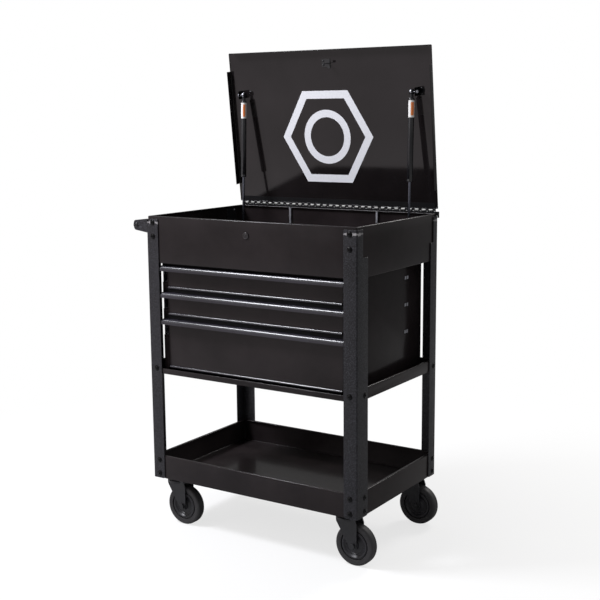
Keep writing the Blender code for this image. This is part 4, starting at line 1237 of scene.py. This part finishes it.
# ---- lock and handle -----------------------------------------------------------------------------
class CART_OT_lock(bpy.types.Operator):
    """Adds the cam lock: barrel, plug with its keyway, nut and cam"""
    bl_idname = "cart.lock"
    bl_label = "Lock"

    def execute(self, context):
        front = -TRAY_HALF_Y - GAP
        back = -0.2170
        face = [(0.0063, front - 0.0022), (0.0068, front - 0.0028), (0.0088, front - 0.0028)]
        face += arc((0.0088, front - 0.0013), 0.0015, 270, 360, 4) + [(0.0103, front)]
        barrel = turned(face + [(0.0090, front), (0.0090, back - 0.001), (0.0063, back - 0.001)], 40, "Y",
                        (0, 0, LOCK_Z))
        piece("lock_barrel_finished", barrel, "chrome", "cart_frame", ["lock_barrel"])
        nut_y = -TRAY_HALF_Y + TRAY_SHEET + GAP
        ring = turned(rod(0.0093, nut_y - 0.01, nut_y + 0.02), 28, "Y", (0, 0, LOCK_Z))
        piece("lock_nut", carved(drawn(hexagon(0.0140, (0.0, LOCK_Z)), "Y", nut_y, nut_y + 0.0035),
                                 [ring]),
              "zinc",
              "cart_frame", edge=0.0003)
        plug = turned([(0, front - 0.0026)] + [(0.0048, front - 0.0026), (0.0060, front - 0.0019),
                                               (0.0060, back),
                                              (0, back)], 32, "Y", (0, 0, LOCK_Z))
        keyway = block((-0.0009, front - 0.01, LOCK_Z - 0.0042), (0.0009, front + 0.004, LOCK_Z + 0.0042))
        piece("lock_plug_finished", carved(plug, [keyway]), "chrome", "lock",
              ["lock_plug"])
        hook = [(0.007, -0.005), (0.007, 0.005), (-0.0225, 0.005), (-0.0225, 0.016), (-0.028, 0.016),
                (-0.028, -0.005)]
        cam = drawn([(x, LOCK_Z + z) for x, z in hook], "Y", back + GAP, back + GAP + 0.002)
        soften(cam, 0.0025, 3, lambda p: abs(p.x - 0.007) < NEAR and abs(abs(p.z - LOCK_Z) - 0.005) < NEAR)
        piece("lock_cam_finished", cam, "zinc", "lock", ["lock_cam"], edge=0.0003)
        return {"FINISHED"}


class CART_OT_handle(bpy.types.Operator):
    """Adds the push handle: two folded brackets, the bar and its end screws"""
    bl_idname = "cart.handle"
    bl_label = "Push handle"

    def execute(self, context):
        low, high = (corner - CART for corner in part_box("handle_bracket_front"))
        bar_low, bar_high = (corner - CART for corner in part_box("handle_bar"))
        bar_x, bar_z = (bar_low.x + bar_high.x) / 2, (bar_low.z + bar_high.z) / 2
        wall, sheet = -HALF_X - GAP, 0.003
        corners = [(wall, high.z), (low.x + 0.004, bar_z + 0.0150), (low.x, bar_z),
                   (low.x + 0.005, bar_z - 0.0150),
                   (wall, low.z)]
        outline = [tuple(p) for p in filleted(corners, 0.0085)]
        for end, where in ENDS:
            outer = end * (HALF_Y - 0.004)
            inner = outer - end * sheet
            plate = drawn(outline, "Y", inner, outer)
            foot = block((wall - sheet, inner + end * 0.001, low.z + 0.001),
                         (wall - 0.0001, end * (HALF_Y - 0.027), high.z - 0.001))
            bmesh.ops.bevel(foot, geom=foot.edges[:], offset=0.0008, segments=2, profile=0.5,
                            affect="EDGES", material=-1)
            piece(f"{where}_handle_bracket", carved(plate, [foot], "UNION"), "hammered", "cart_frame",
                  [f"handle_bracket_{where}"], edge=0.0005)
            heads = [facing((wall - sheet, end * (HALF_Y - 0.018), z), (-1, 0, 0))
                     for z in (0.962, 0.984)]
            heads.append(facing((bar_x, outer, bar_z), (0, end, 0)))
            piece(f"{where}_handle_screws", copies(button_head(), heads), "black_steel", "cart_frame")
        radius = (bar_high.z - bar_low.z) / 2
        bar = turned(rod(radius, bar_low.y, bar_high.y, 0.0012), 40, "Y", (bar_x, 0, bar_z))
        piece("push_bar", bar, "hammered", "cart_frame", ["handle_bar"])
        return {"FINISHED"}


# ---- casters -------------------------------------------------------------------------------------
def caster_plate():
    """Top plate with rounded corners, about the point under the tray's floor."""
    plate = block((-0.0475, -0.0335, -0.003), (0.0475, 0.0335, 0))
    soften(plate, 0.006, 4, lambda p: abs(abs(p.x) - 0.0475) < NEAR and abs(abs(p.y) - 0.0335) < NEAR)
    return plate


def caster_cup():
    """The pressed bearing cup with the kingpin's riveted head below it."""
    return turned([(0, -0.0020), (0.0290, -0.0020), (0.0290, -0.0050)] + arc((0.0260, -0.0055), 0.0030, 0,
                                                                             -90, 4)
                  + [(0.0060, -0.0085), (0.0060, -0.0195), (0.0095, -0.0195), (0.0100, -0.0225)]
                  + arc((0.0070, -0.0210), 0.0030, -20, -90, 4) + [(0, -0.0240)], 40)


def caster_fork(axle_z, reach):
    """The swivelling fork: a round crown, a deck across it and two tapered legs."""
    top = -0.0090
    crown = [(0.0064, top), (0.0290, top)] + arc((0.0290, top - 0.0035), 0.0035, 90, 0, 4)
    crown = turned(crown + [(0.0325, top - 0.0075), (0.0300, top - 0.0075), (0.0300, top - 0.0035),
                            (0.0064, top - 0.0035)], 48)
    foot = arc((CASTER_TRAIL, axle_z), 0.013, -10, -150, 12)
    outline = [(0.036, top - 0.0008), (0.043, top - 0.020)] + foot + [(-0.0265, top - 0.014),
                                                                      (-0.0275, top - 0.0008)]
    legs = []
    for side in (-1, 1):
        leg = drawn(outline, "Y", side * reach, side * (reach + 0.003))
        legs.append(leg)
    deck = drawn([(-reach - 0.0005, top - 0.0012), (reach + 0.0005, top - 0.0012),
                  (reach + 0.0005, top - 0.0037), (-reach - 0.0005, top - 0.0037)], "X", -0.0278, 0.0355)
    hole = turned(rod(0.0064, -0.04, 0.01), 32)
    return carved(crown, [carved(deck, [hole])] + legs, "UNION")


def tyre(radius, half, shoulder):
    """Solid rubber tread with rounded shoulders on the wheel's core."""
    bed = radius - 0.0185
    crown = arc((radius - shoulder, -half + shoulder), shoulder, 262, 360, 7)
    side = [(bed + 0.0012, -half + 0.0010), (bed, -half + 0.0040)]
    lower = side[::-1] + crown
    return turned(lower + [(r, -h) for r, h in lower[::-1]], 72, "Y")


def wheel_core(radius, half):
    """Moulded core: a rim, a dished web with a raised ring, and a hub."""
    bed = radius - 0.0188
    lower = [(0.0062, -half - 0.0015), (0.0125, -half - 0.0015)] + arc((0.0125, -half - 0.0005), 0.0010,
                                                                       270, 350, 2)
    lower += [(0.0150, -half + 0.0060), (0.0200, -half + 0.0085), (0.0270, -half + 0.0085),
              (0.0290, -half + 0.0065),
              (0.0320, -half + 0.0065), (0.0350, -half + 0.0030), (0.0370, -half + 0.0012),
              (0.0400, -half + 0.0010),
              (0.0422, -half + 0.0024), (0.0422, -half + 0.0060), (bed, -half + 0.0060)]
    return turned(lower + [(r, -h) for r, h in lower[::-1]], 72, "Y")


class CART_OT_casters(bpy.types.Operator):
    """Adds the four swivel casters with their plates, cups, forks, axles, cores and tyres"""
    bl_idname = "cart.casters"
    bl_label = "Casters"

    def execute(self, context):
        sizes = context.scene.cart_sizes
        half, radius = 0.016, JOINTS["caster_front_left_wheel"]["pos_m"][2]
        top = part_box("caster_plate_front_left")[1].z
        reach = half + 0.0035
        axle_z = radius - top
        plate, cup = as_mesh(caster_plate()), as_mesh(caster_cup())
        fork = caster_fork(axle_z, reach)
        rubber, core = as_mesh(tyre(radius, half, sizes.tread_round)), as_mesh(wheel_core(radius, half))
        axle = as_mesh(turned(rod(0.0056, -reach - 0.0062, reach + 0.0062, 0.0006), 24, "Y",
                              (CASTER_TRAIL, 0, axle_z)))
        nut = drawn(hexagon(0.0092, (CASTER_TRAIL, axle_z), 12), "Y", reach + 0.0032, reach + 0.0090)
        nuts = as_mesh(copies(as_mesh(nut), [Matrix.Identity(4),
                                             Matrix.Translation((0, -2 * reach - 0.0122, 0))]))
        head = button_head()
        flip = Matrix.Rotation(math.pi, 4, "X")
        spots = [Matrix.Translation((x, y, -0.003)) @ flip for x in (-0.0390, 0.0390)
                 for y in (-0.0255, 0.0255)]
        plate_bolts = as_mesh(copies(head, spots))
        for _, where in ENDS:
            for _, hand in SIDES:
                label = f"{where}_{hand}"
                swivel = Vector(JOINTS[f"caster_{label}_swivel"]["pos_m"])
                place = Matrix.Translation((swivel.x, swivel.y, top))
                hub = Matrix.Translation(JOINTS[f"caster_{label}_wheel"]["pos_m"])
                forked, wheeled = f"caster_{label}_fork", f"caster_{label}_wheel"
                piece(f"{label}_caster_plate", plate.copy(), "caster", "cart_frame",
                      [f"caster_plate_{label}"], place, 0.0004)
                piece(f"{label}_caster_cup", cup.copy(), "caster", "cart_frame",
                      place=place)
                piece(f"{label}_caster_plate_bolts", plate_bolts.copy(), "black_steel", "cart_frame",
                      place=place)
                piece(f"{label}_caster_fork", fork.copy(), "caster", forked,
                      [f"caster_fork_{label}"], place, 0.0005)
                piece(f"{label}_caster_axle", axle.copy(), "black_steel", forked,
                      place=place)
                piece(f"{label}_caster_nuts", nuts.copy(), "black_steel", forked,
                      place=place, edge=0.0005)
                piece(f"{label}_tyre", rubber.copy(), "rubber", wheeled,
                      [f"caster_wheel_{label}"], hub)
                piece(f"{label}_wheel_core", core.copy(), "core", wheeled, place=hub)
        return {"FINISHED"}


# ---- stage ---------------------------------------------------------------------------------------
CAMERA_AT = Vector((1.9086, -2.8756, 1.3117))
CAMERA_TURN = (33.198, 9.515, -0.471)       # to the left of +Y, down, and roll, in degrees
CAMERA_LENS = 66.28


def soft_light(name, place, target, size, power, colour):
    """A large flat light aimed at a point, itself out of sight."""
    data = bpy.data.lights.new(name, "AREA")
    data.shape, data.energy, data.color = "RECTANGLE", power, colour
    data.size, data.size_y = size
    made = bpy.data.objects.new(name, data)
    bpy.context.scene.collection.objects.link(made)
    made.location = place
    made.rotation_euler = (Vector(target) - Vector(place)).to_track_quat("-Z", "Y").to_euler()
    made.visible_camera = False
    return made


def floor_finish(settings):
    """A pale floor, lifted towards white where it is looked at, so that only near shadows show."""
    made = bpy.data.materials.new("pale floor")
    made.use_nodes = True
    tree = made.node_tree
    shader = tree.nodes["Principled BSDF"]
    seen = node(tree, "ShaderNodeLightPath").outputs["Is Camera Ray"]
    tone = blended(tree, seen, (settings.bounce,) * 3, (settings.floor_tone,) * 3)
    tree.links.new(tone, shader.inputs["Base Color"])
    shader.inputs["Roughness"].default_value = 0.9
    shader.inputs["Specular IOR Level"].default_value = 0.0
    glow = node(tree, "ShaderNodeEmission", [("Color", (1, 1, 1, 1)), ("Strength", 1.0)])
    away = node(tree, "ShaderNodeVectorMath", [(0, place_of(tree))], operation="LENGTH").outputs["Value"]
    share = math_node(tree, "MULTIPLY", seen, ramp(tree, away, 0.5, 1.9, 0.72, 1.0))
    mixed = node(tree, "ShaderNodeMixShader", [(0, share), (1, shader.outputs[0]), (2, glow.outputs[0])])
    tree.links.new(mixed.outputs[0], tree.nodes["Material Output"].inputs["Surface"])
    return made


def surround(settings):
    """An even pale surround that is looked at, and a dimmer one that lights the cart."""
    world = bpy.data.worlds.new("even light")
    world.use_nodes = True
    tree = world.node_tree
    fill = tree.nodes["Background"]
    fill.inputs["Color"].default_value = (1, 1, 1, 1)
    fill.inputs["Strength"].default_value = settings.sky
    seen = node(tree, "ShaderNodeBackground", [("Color", (1, 1, 1, 1)), ("Strength", 1.0)])
    camera_ray = node(tree, "ShaderNodeLightPath").outputs["Is Camera Ray"]
    mixed = node(tree, "ShaderNodeMixShader",
                 [(0, camera_ray), (1, fill.outputs[0]), (2, seen.outputs[0])])
    tree.links.new(mixed.outputs[0], tree.nodes["World Output"].inputs["Surface"])
    return world


class CART_OT_stage(bpy.types.Operator):
    """Adds the floor, the soft light and the camera"""
    bl_idname = "cart.stage"
    bl_label = "Floor, light and camera"

    def execute(self, context):
        scene, settings = context.scene, context.scene.cart_stage
        bm = bmesh.new()
        bmesh.ops.create_grid(bm, x_segments=1, y_segments=1, size=30)
        floor = bpy.data.objects.new("floor", as_mesh(bm, "floor"))
        scene.collection.objects.link(floor)
        floor.data.materials.append(floor_finish(settings))
        scene.world = surround(settings)
        aim = CART + Vector((0, 0, 0.8))
        soft_light("key", CART + Vector((-2.0, -3.1, 2.3)), aim, (2.0, 2.0), settings.key,
                   (1.0, 0.985, 0.97))
        soft_light("top", CART + Vector((-1.6, -1.35, 3.1)), aim, (0.8, 0.8), settings.top,
                   (0.93, 0.94, 1.0))
        soft_light("rear", CART + Vector((0.7, 2.8, 2.7)), aim, (1.0, 1.0), settings.rear,
                   (1.0, 0.97, 0.96))
        soft_light("panel", CART + Vector((-1.434, -1.779, 0.72)), CART + Vector((0, 0, 0.95)),
                   (2.25, 1.45),
                   settings.panel, (1.0, 0.885, 0.91))
        scene.view_settings.view_transform = "Standard"
        camera = bpy.data.objects.new("camera", bpy.data.cameras.new("camera"))
        scene.collection.objects.link(camera)
        camera.data.lens, camera.data.sensor_width = CAMERA_LENS, 36.0
        azimuth, down, roll = (math.radians(a) for a in CAMERA_TURN)
        ahead = Vector((-math.sin(azimuth) * math.cos(down), math.cos(azimuth) * math.cos(down),
                        -math.sin(down)))
        right = Vector((math.cos(azimuth), math.sin(azimuth), 0))
        up = right.cross(ahead)
        across = right * math.cos(roll) + up * math.sin(roll)
        above = up * math.cos(roll) - right * math.sin(roll)
        turn = Matrix((across, above, -ahead)).transposed()
        camera.matrix_world = Matrix.Translation(CART + CAMERA_AT) @ turn.to_4x4()
        scene.camera = camera
        return {"FINISHED"}


class CART_PT_panel(bpy.types.Panel):
    """Lists the cart's steps and settings in the 3D view's sidebar"""
    bl_idname = "CART_PT_panel"
    bl_label = "Tool cart"
    bl_space_type = "VIEW_3D"
    bl_region_type = "UI"
    bl_category = "Tool cart"

    def draw(self, context):
        for group in (context.scene.cart_sizes, context.scene.cart_colours, context.scene.cart_stage):
            for name in group.__annotations__:
                self.layout.prop(group, name)
        for operator in OPERATORS:
            self.layout.operator(operator.bl_idname)


OPERATORS = (CART_OT_stage, CART_OT_posts, CART_OT_trays, CART_OT_till, CART_OT_cabinet, CART_OT_drawers,
             CART_OT_lid, CART_OT_hinge, CART_OT_struts, CART_OT_lock, CART_OT_handle, CART_OT_casters)
CLASSES = (CartSizes, CartColours, StageSettings) + OPERATORS + (CART_PT_panel,)


def register():
    for cls in CLASSES:
        bpy.utils.register_class(cls)
    bpy.types.Scene.cart_sizes = PointerProperty(type=CartSizes)
    bpy.types.Scene.cart_colours = PointerProperty(type=CartColours)
    bpy.types.Scene.cart_stage = PointerProperty(type=StageSettings)


def unregister():
    del bpy.types.Scene.cart_stage
    del bpy.types.Scene.cart_colours
    del bpy.types.Scene.cart_sizes
    for cls in reversed(CLASSES):
        bpy.utils.unregister_class(cls)


def main():
    register()
    for operator in OPERATORS:
        step = getattr(bpy.ops.cart, operator.bl_idname.split(".")[1])
        if step() != {"FINISHED"}:
            raise RuntimeError(f"{operator.bl_label} did not finish")


if __name__ == "__main__":
    main()
